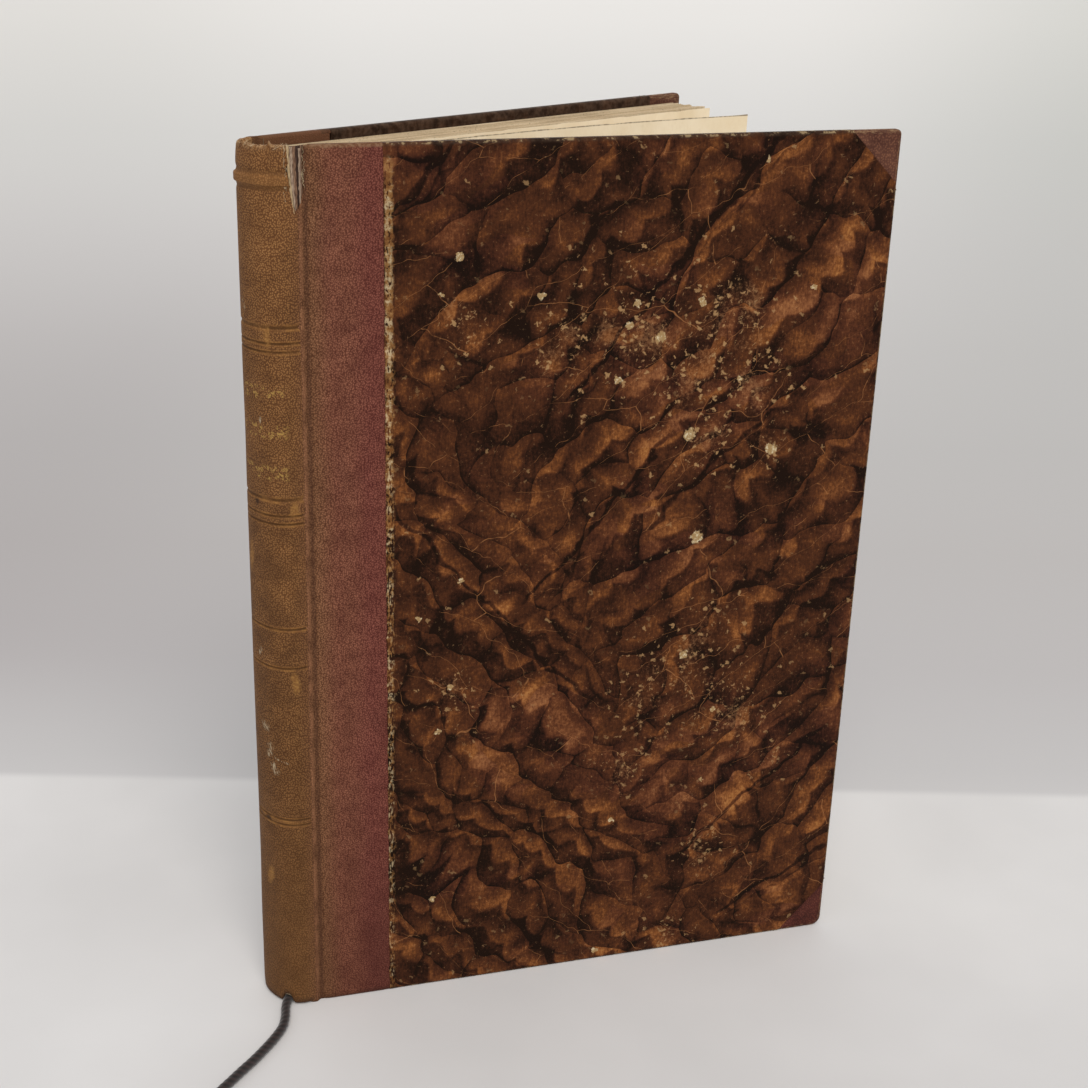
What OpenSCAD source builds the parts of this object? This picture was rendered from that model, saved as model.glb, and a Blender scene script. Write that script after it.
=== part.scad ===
// Half-bound antique book standing on its tail, spine towards -X and front cover towards -Y.
// The front cover stands ajar, the back cover is closed against the leaves.
// Millimetres. The book lies about its spine joints first, then moves so the origin is
// the centre of its footprint on the surface it stands on.

/* [Covers] */

// Height of the boards
board_h = 210; // [185:1:240]
// Board width from the joint to the fore edge
board_w = 136.5; // [115:0.5:160]
// Thickness of the pasteboard core
board_t = 2.0; // [1.6:0.1:2.6]
// Thickness of the cloth and paper skin on a board
skin = 0.4; // [0.3:0.05:0.5]
// How far the marbled paper lies below the cloth
paper_low = 0.1; // [0.05:0.05:0.2]
// Where the cloth side ends and the marbled paper begins
cloth_w = 17.0; // [12:0.5:25]
// Leg of the cloth corner pieces
corner_leg = 12.4; // [8:0.2:20]
// Width of the edges turned over to the inside
turn_in = 14; // [8:0.5:18]
// Thickness of a turned over edge
turn_t = 0.2; // [0.15:0.05:0.3]
// Thickness of a pastedown
pastedown_t = 0.2; // [0.15:0.05:0.3]
// Radius of the rubbed upper corner
head_corner_r = 1.2; // [0.6:0.1:3]
// Radius of the bumped lower corner
tail_corner_r = 2.6; // [0.6:0.1:4]
// Angle by which the front cover stands open
front_open = 27.6; // [10:0.2:60]

/* [Book thickness] */

// Thickness of the closed book over both covers
book_t = 17.8; // [15:0.1:24]
// Free space between a closed cover and the leaves
cover_gap = 0.3; // [0.3:0.05:0.6]

/* [Joint] */

// Depth of the hinge line below the outer face
hinge_in = 0.2; // [0.1:0.05:0.3]
// Where the cloth strip of a cover begins
flange_x = 0.4; // [0.3:0.05:0.6]
// Where the board begins
board_x = 1.4; // [1.2:0.1:2.5]
// Where the cloth of the spine ends
spine_x = 0.6; // [0.5:0.05:0.9]

/* [Spine] */

// How far the spine stands out behind the joints
spine_out = 8.1; // [6.5:0.1:9]
// Fullness of the curve, 2 is an ellipse
spine_power = 2.3; // [2:0.1:3]
// Thickness of the spine cloth
cloth_t = 0.5; // [0.4:0.05:0.6]
// Thickness of the stiff strip behind it
inlay_t = 0.6; // [0.4:0.05:0.7]
// Half of the angle that the stiff strip covers
inlay_angle = 62; // [50:1:70]
// Gap of the spine cloth over the surface the book stands on
spine_lift = 0.3; // [0.1:0.1:0.8]
// Depth of the impressed rule lines
rule_deep = 0.2; // [0.1:0.05:0.25]
// Height of a thick rule line
thick_rule_h = 0.8; // [0.5:0.1:1.2]
// Height of a thin rule line
thin_rule_h = 0.4; // [0.3:0.1:0.6]
// How far the head band stands out
head_band_out = 0.5; // [0.3:0.1:0.7]
// Height of the raised head band
head_band_h = 1.9; // [1.2:0.1:3]
// Length of the split at the head of the front joint
tear_h = 11; // [6:0.5:20]
// Width of that split
tear_w = 1.8; // [1:0.1:2.4]

/* [Leaves] */

// Space from the board edge down to the leaves at the head
head_square = 2.1; // [1.5:0.1:4]
// Space from the leaves to the surface at the tail
tail_square = 2.5; // [2.5:0.1:4]
// Space from the leaves to the fore edge of the boards
fore_square = 3.8; // [2:0.1:5]
// Thickness of a single loose leaf
leaf_t = 0.25; // [0.2:0.05:0.3]
// How hollow the fore edge of the block is
fore_hollow = 1.2; // [0.4:0.1:2]
// How far the spine of the block is rounded
block_round = 6.0; // [4.5:0.1:6.2]
// Thickness of the lining on the spine of the block
lining_t = 0.5; // [0.4:0.05:0.6]
// Thickness of a sewing tape
tape_t = 0.3; // [0.2:0.05:0.3]
// Width of a sewing tape
tape_w = 9; // [6:0.5:14]
// Reach of the long curl of the free endpaper, larger is flatter
endpaper_reach = 430; // [380:5:900]
// Reach of the long curl of the flyleaf, larger is flatter
flyleaf_reach = 820; // [700:10:1500]

/* [Bookmark] */

// Diameter of the bookmark cord
cord_d = 2.2; // [1.6:0.1:2.2]
// Diameter of the knot at its end
knot_d = 4.8; // [4:0.1:6]

/* [Hidden] */

cover_t = skin + board_t + turn_t + pastedown_t;
spine_half = book_t / 2 - 0.2;
inner_y = skin + board_t;
front_hinge = [0, hinge_in];
block_front = cover_t + cover_gap + 2 * leaf_t + 0.1;
block_back = book_t - cover_t - cover_gap - leaf_t - 0.05;
block_mid = (block_front + block_back) / 2;
block_half = (block_back - block_front) / 2;
block_w = board_w - fore_square;
block_h = board_h - head_square - tail_square;
pastedown_edge = 3;
cap_h = 0.5;

x_low = -spine_out - head_band_out;
y_low = hinge_in - board_w * sin(front_open) - hinge_in * cos(front_open);
shift = [-(x_low + board_w) / 2, -(y_low + book_t) / 2, 0];

// Rule lines on the spine: share of the height, and whether it is a thick one
rules = [
    [0.2445, false], [0.2510, false], [0.4400, false], [0.4865, false],
    [0.6080, false], [0.6170, false], [0.6350, true],
    [0.7940, false], [0.8030, false], [0.8195, true]
];
head_band_z = 0.9615 * board_h;
tape_share = [0.18, 0.5, 0.82];

// Bookmark cord, from inside the leaves, under them, out at the tail and over the table
route = [
    [12.6, 9.1, 22], [12.6, 9.1, 17.4], [12.4, 9.1, 13], [11.7, 9.1, 8.9], [9.9, 9.1, 5.2],
    [6.7, 8.9, 2.5], [2.6, 8.3, 1.25], [-1.8, 7.2, 1.15], [-5.7, 5.4, 1.15],
    [-8.9, 2.8, 1.15], [-11.6, -0.5, 1.15], [-14.6, -3.3, 1.15], [-18.5, -5.4, 1.15],
    [-22.9, -7.2, 1.15], [-27.4, -8.8, 1.15], [-31.8, -10.1, 1.15], [-36.2, -11.5, 1.15],
    [-41.0, -13.0, 1.15], [-45.8, -15.0, 1.15], [-50.4, -17.6, 1.15], [-54.6, -21.0, 1.15],
    [-58.2, -24.8, 1.2], [-61.2, -28.6, 1.6], [-63.2, -31.2, 2.2]
];
knot_at = [-63.6, -31.8, knot_d / 2];
cord_sides = 8;
slot_w = cord_d + 0.5;

edge_angle = acos(pow(spine_x / spine_out, spine_power / 2));

// Angles round the spine cloth: the same ones over the stiff strip, then on to the limit
function spine_angles(limit) = concat(
    limit > inlay_angle ? [for (i = [5 : -1 : 1]) -inlay_angle - (limit - inlay_angle) * i / 5] : [],
    [for (i = [-14 : 14]) inlay_angle * i / 14],
    limit > inlay_angle ? [for (i = [1 : 5]) inlay_angle + (limit - inlay_angle) * i / 5] : []
);
// Angles round the back of the leaves, eight degrees apart
function block_angles(steps) = [for (i = [-steps : steps]) 8 * i];
function round_pts(out, half, mid, angles) = [
    for (t = angles)
        let (p = 2 / spine_power)
        [-out * pow(abs(cos(t)), p), mid + half * sign(sin(t)) * pow(abs(sin(t)), p)]
];
function back_to_front(list) = [for (i = [len(list) - 1 : -1 : 0]) list[i]];
function arc_pts(c, r, from, to, steps) = [
    for (i = [0 : steps])
        let (t = from + (to - from) * i / steps)
        [c[0] + r * cos(t), c[1] + r * sin(t)]
];
function ease(t) = t * t * (3 - 2 * t);
function unit(v) = v / norm(v);

// Curved shell about the joints of the spine, between two distances inside its outer curve
module spine_shell(outer, inner, limit) {
    angles = spine_angles(limit);
    polygon(concat(
        round_pts(spine_out - outer, spine_half - outer, book_t / 2, angles),
        back_to_front(round_pts(spine_out - inner, spine_half - inner, book_t / 2, angles))
    ));
}

// Curved shell on the rounded back of the leaves
module block_shell(low, high, steps) {
    angles = block_angles(steps);
    polygon(concat(
        round_pts(block_round + high, block_half + high, block_mid, angles),
        back_to_front(round_pts(block_round + low, block_half + low, block_mid, angles))
    ));
}

// Everything outside the spine's curve at the given depth
module outside_spine(deep) {
    difference() {
        translate([-spine_out - 3, -2]) square([spine_out + 3, book_t + 4]);
        polygon(concat(
            round_pts(spine_out - deep, spine_half - deep, book_t / 2, spine_angles(90)),
            [[2, book_t / 2 + spine_half - deep], [2, book_t / 2 - spine_half + deep]]
        ));
    }
}

// Drop-shaped way for the cord under the tail of the spine
module cord_way() {
    translate([-6.9, 4.5, 0])
        rotate([0, 0, 37.5]) {
            translate([-4.5, 0, 1.15])
                rotate([0, 90, 0])
                    cylinder(d = cord_d + 0.6, h = 9, $fn = 24);
            translate([-4.5, -cord_d / 2 - 0.3, -1])
                cube([9, cord_d + 0.6, 2.15]);
        }
}

module spine_cover_solid() {
    difference() {
        union() {
            translate([0, 0, spine_lift])
                linear_extrude(height = board_h - spine_lift)
                    spine_shell(0, cloth_t, edge_angle);
            translate([0, 0, spine_lift])
                linear_extrude(height = cap_h)
                    spine_shell(cloth_t - 0.1, cloth_t + inlay_t, inlay_angle);
            translate([0, 0, board_h - cap_h])
                linear_extrude(height = cap_h)
                    spine_shell(cloth_t - 0.1, cloth_t + inlay_t, inlay_angle);
            translate([0, 0, head_band_z])
                linear_extrude(height = head_band_h)
                    spine_shell(-head_band_out, 0.1, inlay_angle);
        }
        for (r = rules) {
            high = r[1] ? thick_rule_h : thin_rule_h;
            translate([0, 0, r[0] * board_h - high / 2])
                linear_extrude(height = high)
                    outside_spine(rule_deep);
        }
        translate([-spine_x - tear_w, -2, board_h - tear_h])
            cube([spine_x + tear_w + 1, 5, tear_h + 1]);
        cord_way();
    }
}

module spine_inlay_solid() {
    difference() {
        translate([0, 0, spine_lift + cap_h])
            linear_extrude(height = board_h - spine_lift - 2 * cap_h)
                spine_shell(cloth_t, cloth_t + inlay_t, inlay_angle);
        cord_way();
    }
}

module spine_lining_solid() {
    difference() {
        translate([0, 0, tail_square])
            linear_extrude(height = block_h)
                block_shell(0, lining_t, 10);
        for (s = tape_share)
            translate([0, 0, tail_square + s * block_h - tape_w / 2])
                linear_extrude(height = tape_w)
                    block_shell(-1, tape_t, 9);
    }
}

module text_block_solid() {
    difference() {
        translate([0, 0, tail_square])
            linear_extrude(height = block_h)
                polygon(concat(
                    round_pts(block_round, block_half, block_mid, concat([-90], block_angles(10), [90])),
                    [for (i = [0 : 12])
                        let (s = i / 12)
                        [block_w - fore_hollow * sin(180 * s), block_back - 2 * block_half * s]]
                ));
        translate([12.6 - slot_w / 2 - 4, 9.1 - slot_w / 2, tail_square - 1])
            cube([slot_w + 4, slot_w, 22]);
        translate([0.5, 8.7 - slot_w / 2 - 0.4, tail_square - 1])
            cube([9, slot_w + 0.8, 3.6]);
    }
}

// A leaf that lifts off the block in one long smooth curl
module curled_leaf(rest_y, reach, head_drop) {
    stations = [for (i = [0 : 14]) i / 14 * (block_w - 0.6)];
    back = [for (x = stations) let (w = ease(x / reach) * front_open) [x * cos(w), rest_y - x * sin(w)]];
    front = [for (p = back) [p[0], p[1] - leaf_t]];
    translate([0, 0, tail_square + 0.2])
        linear_extrude(height = block_h - 0.2 - head_drop)
            polygon(concat(back, back_to_front(front)));
}

// Flat piece of a cover between two depths, drawn in the plane of the board
module slab(low, high) {
    translate([0, high, 0])
        rotate([90, 0, 0])
            linear_extrude(height = high - low)
                children();
}

// Outline of a board with its rubbed corners, grown by its skin where wanted
module board_outline(from_x, grow) {
    right = board_w - skin + grow;
    low = skin - grow;
    high = board_h - skin + grow;
    head_r = head_corner_r + grow;
    tail_r = tail_corner_r + grow;
    polygon(concat(
        [[from_x, low]],
        arc_pts([right - tail_r, low + tail_r], tail_r, -90, 0, 6),
        arc_pts([right - head_r, high - head_r], head_r, 0, 90, 5),
        [[from_x, high]]
    ));
}

module head_corner_shape() {
    polygon([
        [board_w - corner_leg, board_h + 1], [board_w - corner_leg, board_h],
        [board_w, board_h - corner_leg], [board_w + 1, board_h - corner_leg],
        [board_w + 1, board_h + 1]
    ]);
}

module tail_corner_shape() {
    polygon([
        [board_w - corner_leg, -1], [board_w - corner_leg, 0],
        [board_w, corner_leg + 0.8], [board_w + 1, corner_leg + 0.8],
        [board_w + 1, -1]
    ]);
}

module paper_shape() {
    difference() {
        translate([cloth_w, -1]) square([board_w - cloth_w + 2, board_h + 2]);
        head_corner_shape();
        tail_corner_shape();
    }
}

// Covering that lies on the board, goes round its edges and is turned in
module wrap(face_y) {
    difference() {
        slab(face_y, inner_y + turn_t)
            intersection() {
                board_outline(flange_x, skin);
                children();
            }
        slab(skin, inner_y) board_outline(board_x, 0);
        slab(inner_y, inner_y + 2)
            translate([-2, turn_in]) square([board_w - turn_in + 2, board_h - 2 * turn_in]);
        translate([flange_x - 1, skin, -1]) cube([board_x - flange_x + 1, 6, board_h + 2]);
    }
}

module board_solid() {
    slab(skin, inner_y) board_outline(board_x, 0);
}

module cloth_side_solid() {
    wrap(0) translate([-1, -1]) square([cloth_w + 1, board_h + 2]);
}

module marbled_paper_solid() {
    wrap(paper_low) paper_shape();
}

module head_corner_solid() {
    wrap(0) head_corner_shape();
}

module tail_corner_solid() {
    wrap(0) tail_corner_shape();
}

module pastedown_solid() {
    slab(inner_y + turn_t, cover_t)
        translate([board_x + 1, pastedown_edge])
            square([board_w - pastedown_edge - board_x - 1, board_h - 2 * pastedown_edge]);
    slab(inner_y, inner_y + turn_t)
        translate([board_x, turn_in])
            square([board_w - turn_in - board_x, board_h - 2 * turn_in]);
}

module in_place() {
    translate(shift) children();
}

module on_front() {
    in_place()
        translate([front_hinge[0], front_hinge[1], 0])
            rotate([0, 0, -front_open])
                translate([-front_hinge[0], -front_hinge[1], 0])
                    children();
}

module on_back() {
    in_place()
        translate([0, book_t, 0])
            mirror([0, 1, 0])
                children();
}

// Round tube swept along the route of the cord
module swept_cord(points, d, sides) {
    last = len(points) - 1;
    up = [0, 1, 0];
    rings = [
        for (i = [0 : last])
            let (
                t = unit(points[min(i + 1, last)] - points[max(i - 1, 0)]),
                a = unit(cross(t, up)),
                b = cross(t, a)
            )
            for (k = [0 : sides - 1])
                points[i] + d / 2 * (a * cos(360 * k / sides) + b * sin(360 * k / sides))
    ];
    walls = [
        for (i = [0 : last - 1], k = [0 : sides - 1])
            let (n = (k + 1) % sides)
            [i * sides + k, i * sides + n, (i + 1) * sides + n, (i + 1) * sides + k]
    ];
    first_cap = [[for (k = [sides - 1 : -1 : 0]) k]];
    last_cap = [[for (k = [0 : sides - 1]) last * sides + k]];
    polyhedron(points = rings, faces = concat(walls, first_cap, last_cap), convexity = 6);
}

module text_block() { color([0.80, 0.76, 0.64]) in_place() text_block_solid(); }
module spine_cover() { color([0.50, 0.36, 0.22]) in_place() spine_cover_solid(); }
module spine_inlay() { color([0.62, 0.55, 0.42]) in_place() spine_inlay_solid(); }
module spine_lining() { color([0.70, 0.64, 0.50]) in_place() spine_lining_solid(); }
module sewing_tape(n) {
    color([0.75, 0.70, 0.58])
        in_place()
            translate([0, 0, tail_square + tape_share[n] * block_h - tape_w / 2])
                linear_extrude(height = tape_w)
                    block_shell(0, tape_t, 9);
}
module tail_sewing_tape() { sewing_tape(0); }
module middle_sewing_tape() { sewing_tape(1); }
module head_sewing_tape() { sewing_tape(2); }
module front_flyleaf() { color([0.86, 0.80, 0.66]) in_place() curled_leaf(block_front, flyleaf_reach, 0.2); }
module front_free_endpaper() {
    color([0.88, 0.83, 0.70])
        in_place() curled_leaf(block_front - leaf_t - 0.05, endpaper_reach, 0.6);
}
module back_free_endpaper() {
    color([0.86, 0.80, 0.66])
        in_place()
            translate([0, block_back, tail_square + 0.2])
                cube([block_w - 0.6, leaf_t, block_h - 0.4]);
}
module bookmark_cord() {
    color([0.12, 0.09, 0.08])
        in_place() swept_cord(route, cord_d, cord_sides);
}
module bookmark_knot() {
    color([0.12, 0.09, 0.08])
        in_place() translate(knot_at) sphere(d = knot_d, $fn = 24);
}
module front_board() { color([0.58, 0.50, 0.38]) on_front() board_solid(); }
module front_cloth_side() { color([0.42, 0.22, 0.19]) on_front() cloth_side_solid(); }
module front_marbled_paper() { color([0.26, 0.15, 0.09]) on_front() marbled_paper_solid(); }
module front_head_corner() { color([0.36, 0.17, 0.16]) on_front() head_corner_solid(); }
module front_tail_corner() { color([0.36, 0.17, 0.16]) on_front() tail_corner_solid(); }
module front_pastedown() { color([0.84, 0.79, 0.66]) on_front() pastedown_solid(); }
module back_board() { color([0.58, 0.50, 0.38]) on_back() board_solid(); }
module back_cloth_side() { color([0.42, 0.22, 0.19]) on_back() cloth_side_solid(); }
module back_marbled_paper() { color([0.26, 0.15, 0.09]) on_back() marbled_paper_solid(); }
module back_head_corner() { color([0.36, 0.17, 0.16]) on_back() head_corner_solid(); }
module back_tail_corner() { color([0.36, 0.17, 0.16]) on_back() tail_corner_solid(); }
module back_pastedown() { color([0.84, 0.79, 0.66]) on_back() pastedown_solid(); }

text_block();
spine_cover();
spine_inlay();
spine_lining();
tail_sewing_tape();
middle_sewing_tape();
head_sewing_tape();
front_flyleaf();
front_free_endpaper();
back_free_endpaper();
bookmark_cord();
bookmark_knot();
front_board();
front_cloth_side();
front_marbled_paper();
front_head_corner();
front_tail_corner();
front_pastedown();
back_board();
back_cloth_side();
back_marbled_paper();
back_head_corner();
back_tail_corner();
back_pastedown();
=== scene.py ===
# %% [markdown]
# # A half-bound antique book, standing ajar
# The book is built round a fixed frame: the solids of its construction model.
# Those solids already have the right sizes and the hinges of the two covers.
# Blender adds what the eye sees: cloth, marbled paper, single leaves and wear.
# Every piece is placed in the same space as the solids, so nothing has to be fitted.

import math

import bmesh
import bpy
import numpy as np
from mathutils import Matrix, Vector


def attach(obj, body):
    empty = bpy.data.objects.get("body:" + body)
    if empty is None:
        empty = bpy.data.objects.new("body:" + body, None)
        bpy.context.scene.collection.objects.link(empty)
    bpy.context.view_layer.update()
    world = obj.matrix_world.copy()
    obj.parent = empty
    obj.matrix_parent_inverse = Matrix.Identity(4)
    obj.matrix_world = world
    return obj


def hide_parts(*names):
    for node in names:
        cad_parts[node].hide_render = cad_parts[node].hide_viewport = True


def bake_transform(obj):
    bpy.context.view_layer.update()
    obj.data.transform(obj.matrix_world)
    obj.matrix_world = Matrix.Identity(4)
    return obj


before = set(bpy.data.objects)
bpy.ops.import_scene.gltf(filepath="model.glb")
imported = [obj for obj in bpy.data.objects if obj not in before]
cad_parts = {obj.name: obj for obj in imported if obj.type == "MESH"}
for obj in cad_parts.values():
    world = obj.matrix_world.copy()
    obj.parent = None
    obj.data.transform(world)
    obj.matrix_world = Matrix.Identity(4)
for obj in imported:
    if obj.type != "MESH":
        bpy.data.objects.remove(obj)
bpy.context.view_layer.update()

# %% [markdown]
# ## Sizes of the book
# A bookbinder thinks in millimetres, so all the sizes here are millimetres.
# The joint of the front cover lies at x 0 and y 0.2, the leaves run along +x,
# and y grows from the front cover to the back cover. One fixed shift then moves
# the book over the middle of its footprint, and one factor turns it into metres.

# %% Sizes in millimetres
MM = 0.001
BOARD_H = 210.0
BOARD_W = 136.5
BOOK_T = 17.8
FRONT_OPEN = 27.6
HINGE_Y = 0.2
INNER_Y = 2.6
TURN_IN = 14.0
CORNER_LEG = 12.4
TAIL_LEG = CORNER_LEG + 0.8
CLOTH_EDGE = 16.9
SPINE_OUT = 8.1
SPINE_TURN_IN = 12
SPINE_HALF = BOOK_T / 2 - 0.2
SPINE_MID = BOOK_T / 2
FULLNESS = 2 / 2.3
SHIFT = np.array((-63.95, 22.708574754853686, 0.0))


def to_row(points):
    """Book millimetres to the metres of the shared frame."""
    return (np.asarray(points, float) + SHIFT) * MM


def turned(points, share=1.0):
    """Swings closed-cover points open about the front joint, all or part of the way."""
    points = np.asarray(points, float)
    angle = np.radians(-FRONT_OPEN) * share
    x, y = points[..., 0], points[..., 1] - HINGE_Y
    swung = points.copy()
    swung[..., 0] = x * np.cos(angle) - y * np.sin(angle)
    swung[..., 1] = x * np.sin(angle) + y * np.cos(angle) + HINGE_Y
    return swung


def mirrored(points):
    """Front cover points to the back cover, which lies closed."""
    flipped = np.array(points, float)
    flipped[..., 1] = BOOK_T - flipped[..., 1]
    return flipped


print("the open cover reaches y", turned((BOARD_W, 0, 0))[1])

# %% [markdown]
# ## The camera
# The photograph was taken from the front left, looking down by about 21 degrees.
# The eight corners of the two boards fix where the camera stood and how long its
# lens was. The picture is a crop, so the optical axis isn't in its middle: the
# camera's shift moves the frame sideways without turning the view.

# %% Place the camera
YAW, PITCH, ROLL = (math.radians(a) for a in (42.759, 21.271, 0.659))
CAMERA_AT = (-0.27790, -0.25625, 0.25934)
FOCAL_LENGTH, SENSOR = 55.645, 36.0
CROP_SHIFT = 0.0809, -0.00105

ahead = Vector((math.sin(YAW) * math.cos(PITCH), math.cos(YAW) * math.cos(PITCH), -math.sin(PITCH)))
level = Vector((math.cos(YAW), -math.sin(YAW), 0))
upward = level.cross(ahead)
right = level * math.cos(ROLL) + upward * math.sin(ROLL)
above = upward * math.cos(ROLL) - level * math.sin(ROLL)

lens = bpy.data.cameras.new("photo_camera")
lens.lens, lens.sensor_width = FOCAL_LENGTH, SENSOR
lens.shift_x, lens.shift_y = CROP_SHIFT
camera = bpy.data.objects.new("photo_camera", lens)
axes = Matrix((right, above, -ahead)).transposed().to_4x4()
camera.matrix_world = Matrix.Translation(CAMERA_AT) @ axes
bpy.context.scene.collection.objects.link(camera)
bpy.context.scene.camera = camera
print("camera looks along", tuple(round(v, 3) for v in ahead))

# %% [markdown]
# ## Writing finishes as arithmetic
# A finish is a tree of shader nodes. Adding each node by hand hides the idea, so
# one small class wraps a socket of the tree. Python's + - * / on it add Math
# nodes, and one method adds any other node from its type, settings and inputs.
# Colours go through Mix nodes, because a Math node would turn them grey.

# %% A socket that does sums
class Stain:
    """One output of a finish's nodes, to be mixed further."""

    def __init__(self, socket):
        self.socket, self.tree = socket, socket.id_data

    def node(self, kind, settings=(), inputs=(), out=0):
        made = self.tree.nodes.new(kind if "Node" in kind else "ShaderNode" + kind)
        for name, value in dict(settings).items():
            if name == "stops":
                set_stops(made.color_ramp, value)
            else:
                setattr(made, name, value)
        for name, value in dict(inputs).items():
            if isinstance(value, Stain):
                self.tree.links.new(value.socket, made.inputs[name])
            else:
                made.inputs[name].default_value = value
        return Stain(made.outputs[out])

    def other(self, name):
        """Another output of the same node."""
        return Stain(self.socket.node.outputs[name])

    def sum(self, operation, *parts):
        return self.node("Math", {"operation": operation}, dict(enumerate(parts)))

    def __add__(self, other): return self.sum("ADD", self, other)
    def __radd__(self, other): return self.sum("ADD", other, self)
    def __sub__(self, other): return self.sum("SUBTRACT", self, other)
    def __rsub__(self, other): return self.sum("SUBTRACT", other, self)
    def __mul__(self, other): return self.sum("MULTIPLY", self, other)
    def __rmul__(self, other): return self.sum("MULTIPLY", other, self)
    def __truediv__(self, other): return self.sum("DIVIDE", self, other)
    def __rtruediv__(self, other): return self.sum("DIVIDE", other, self)
    def __neg__(self): return self.sum("MULTIPLY", self, -1.0)
    def __abs__(self): return self.sum("ABSOLUTE", self)
    def __pow__(self, other): return self.sum("POWER", self, other)

    def least(self, other): return self.sum("MINIMUM", self, other)
    def most(self, other): return self.sum("MAXIMUM", self, other)
    def sine(self): return self.sum("SINE", self)
    def floor(self): return self.sum("FLOOR", self)
    def fraction(self): return self.sum("FRACT", self)

    def step(self, low, high, start=0.0, end=1.0):
        """Rises smoothly from start at low to end at high, or falls where low is larger."""
        if low > high:
            low, high, start, end = high, low, end, start
        return self.node("MapRange", {"interpolation_type": "SMOOTHSTEP"},
                         {"Value": self, "From Min": low, "From Max": high,
                          "To Min": start, "To Max": end})

    def ramp(self, *stops):
        """A colour for each value, from (place, hex colour) pairs."""
        return self.node("ValToRGB", {"stops": stops}, {0: self})

    def mix(self, other, amount):
        """This colour, turned into the other one by amount."""
        return self.node("Mix", {"data_type": "RGBA"}, {0: amount, 6: self, 7: other}, 2)

    def dab(self, code, amount):
        """This colour, turned into a screen colour such as "8a6238" by amount."""
        return self.mix(linear(code), amount)

    def tint(self, code, amount):
        """This colour, multiplied by a screen colour by amount."""
        return self.node("Mix", {"data_type": "RGBA", "blend_type": "MULTIPLY"},
                         {0: amount, 6: self, 7: linear(code)}, 2)

    def part(self, axis):
        return self.node("SeparateXYZ", {}, {0: self}, axis)

    def moved(self, other):
        return self.node("VectorMath", {"operation": "ADD"}, {0: self, 1: other})

    def less(self, other):
        return self.node("VectorMath", {"operation": "SUBTRACT"}, {0: self, 1: other})

    def times(self, factors):
        return self.node("VectorMath", {"operation": "MULTIPLY"}, {0: self, 1: factors})

    def along(self, direction):
        return self.node("VectorMath", {"operation": "DOT_PRODUCT"}, {0: self, 1: direction}, 1)

    def reach(self, place):
        return self.node("VectorMath", {"operation": "DISTANCE"}, {0: self, 1: place}, 1)

    def turn(self, degrees, scale=(1, 1, 1)):
        """The place after a turn about z, then stretched: small scales make long patterns."""
        turned_place = self.node("VectorRotate", {"rotation_type": "Z_AXIS"},
                                 {"Vector": self, "Angle": degrees * (math.pi / 180)})
        return turned_place.times(scale)

    def noise(self, size, detail=2.0, rough=0.5, out=0, flat=False):
        """Soft random blotches of about that size in the place's own units."""
        return self.node("TexNoise", {"noise_dimensions": "2D" if flat else "3D"},
                         {"Vector": self, "Scale": 1 / size, "Detail": detail,
                          "Roughness": rough}, out)

    def cells(self, size, feature="F1", out="Distance", flat=False, ragged=1.0):
        return self.node("TexVoronoi", {"feature": feature,
                                        "voronoi_dimensions": "2D" if flat else "3D"},
                         {"Vector": self, "Scale": 1 / size, "Randomness": ragged}, out)

    def warped(self, size, far, detail=1.0, flat=False):
        """The place pushed about by soft noise, up to half of far each way."""
        push = self.noise(size, detail, 0.5, 1, flat).less((0.5, 0.5, 0.5))
        return self.moved(push.times((far, far, far)))


def linear(code):
    """A screen colour such as "8a6238" as the light that Blender works in."""
    parts = [int(code[i:i + 2], 16) / 255 for i in (0, 2, 4)]
    light = [p / 12.92 if p <= 0.04045 else ((p + 0.055) / 1.055) ** 2.4 for p in parts]
    return (*light, 1.0)


def set_stops(ramp, stops):
    while len(ramp.elements) > 1:
        ramp.elements.remove(ramp.elements[-1])
    for number, (place, code) in enumerate(stops):
        element = ramp.elements[0] if number == 0 else ramp.elements.new(place)
        element.position, element.color = place, linear(code)


def start_finish(name, attribute=None):
    """A new finish: its shader node, and the place on the piece in millimetres."""
    finish = bpy.data.materials.new(name)
    finish.use_nodes = True
    tree = finish.node_tree
    shader = next(n for n in tree.nodes if n.type == "BSDF_PRINCIPLED")
    if attribute:
        read = tree.nodes.new("ShaderNodeAttribute")
        read.attribute_name = attribute
        place = Stain(read.outputs["Vector"])
    else:
        read = tree.nodes.new("ShaderNodeTexCoord")
        place = Stain(read.outputs["Object"]).times((1000, 1000, 1000))
    return finish, shader, place


def end_finish(shader, colour, roughness, height, depth=0.05, gloss=0.3):
    """Joins colour, roughness and a height in millimetres to the shader."""
    links = colour.tree.links
    links.new(colour.socket, shader.inputs["Base Color"])
    if isinstance(roughness, Stain):
        links.new(roughness.socket, shader.inputs["Roughness"])
    else:
        shader.inputs["Roughness"].default_value = roughness
    bump = height.node("Bump", {}, {"Height": height, "Distance": depth * MM, "Strength": 1.0})
    links.new(bump.socket, shader.inputs["Normal"])
    shader.inputs["Specular IOR Level"].default_value = gloss


print("a mid brown is", tuple(round(v, 3) for v in linear("6a4628")))

# %% [markdown]
# ## From grids of points to sheets of cloth and paper
# Cloth and paper are thin sheets. Each is made as two grids of points, the face
# and the back, joined round their rims, so that it is a closed solid as thin as
# the real thing. A second set of numbers goes with the points: where each lies on
# the flat sheet. The finishes read it, so a pattern follows the sheet round edges.

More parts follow.
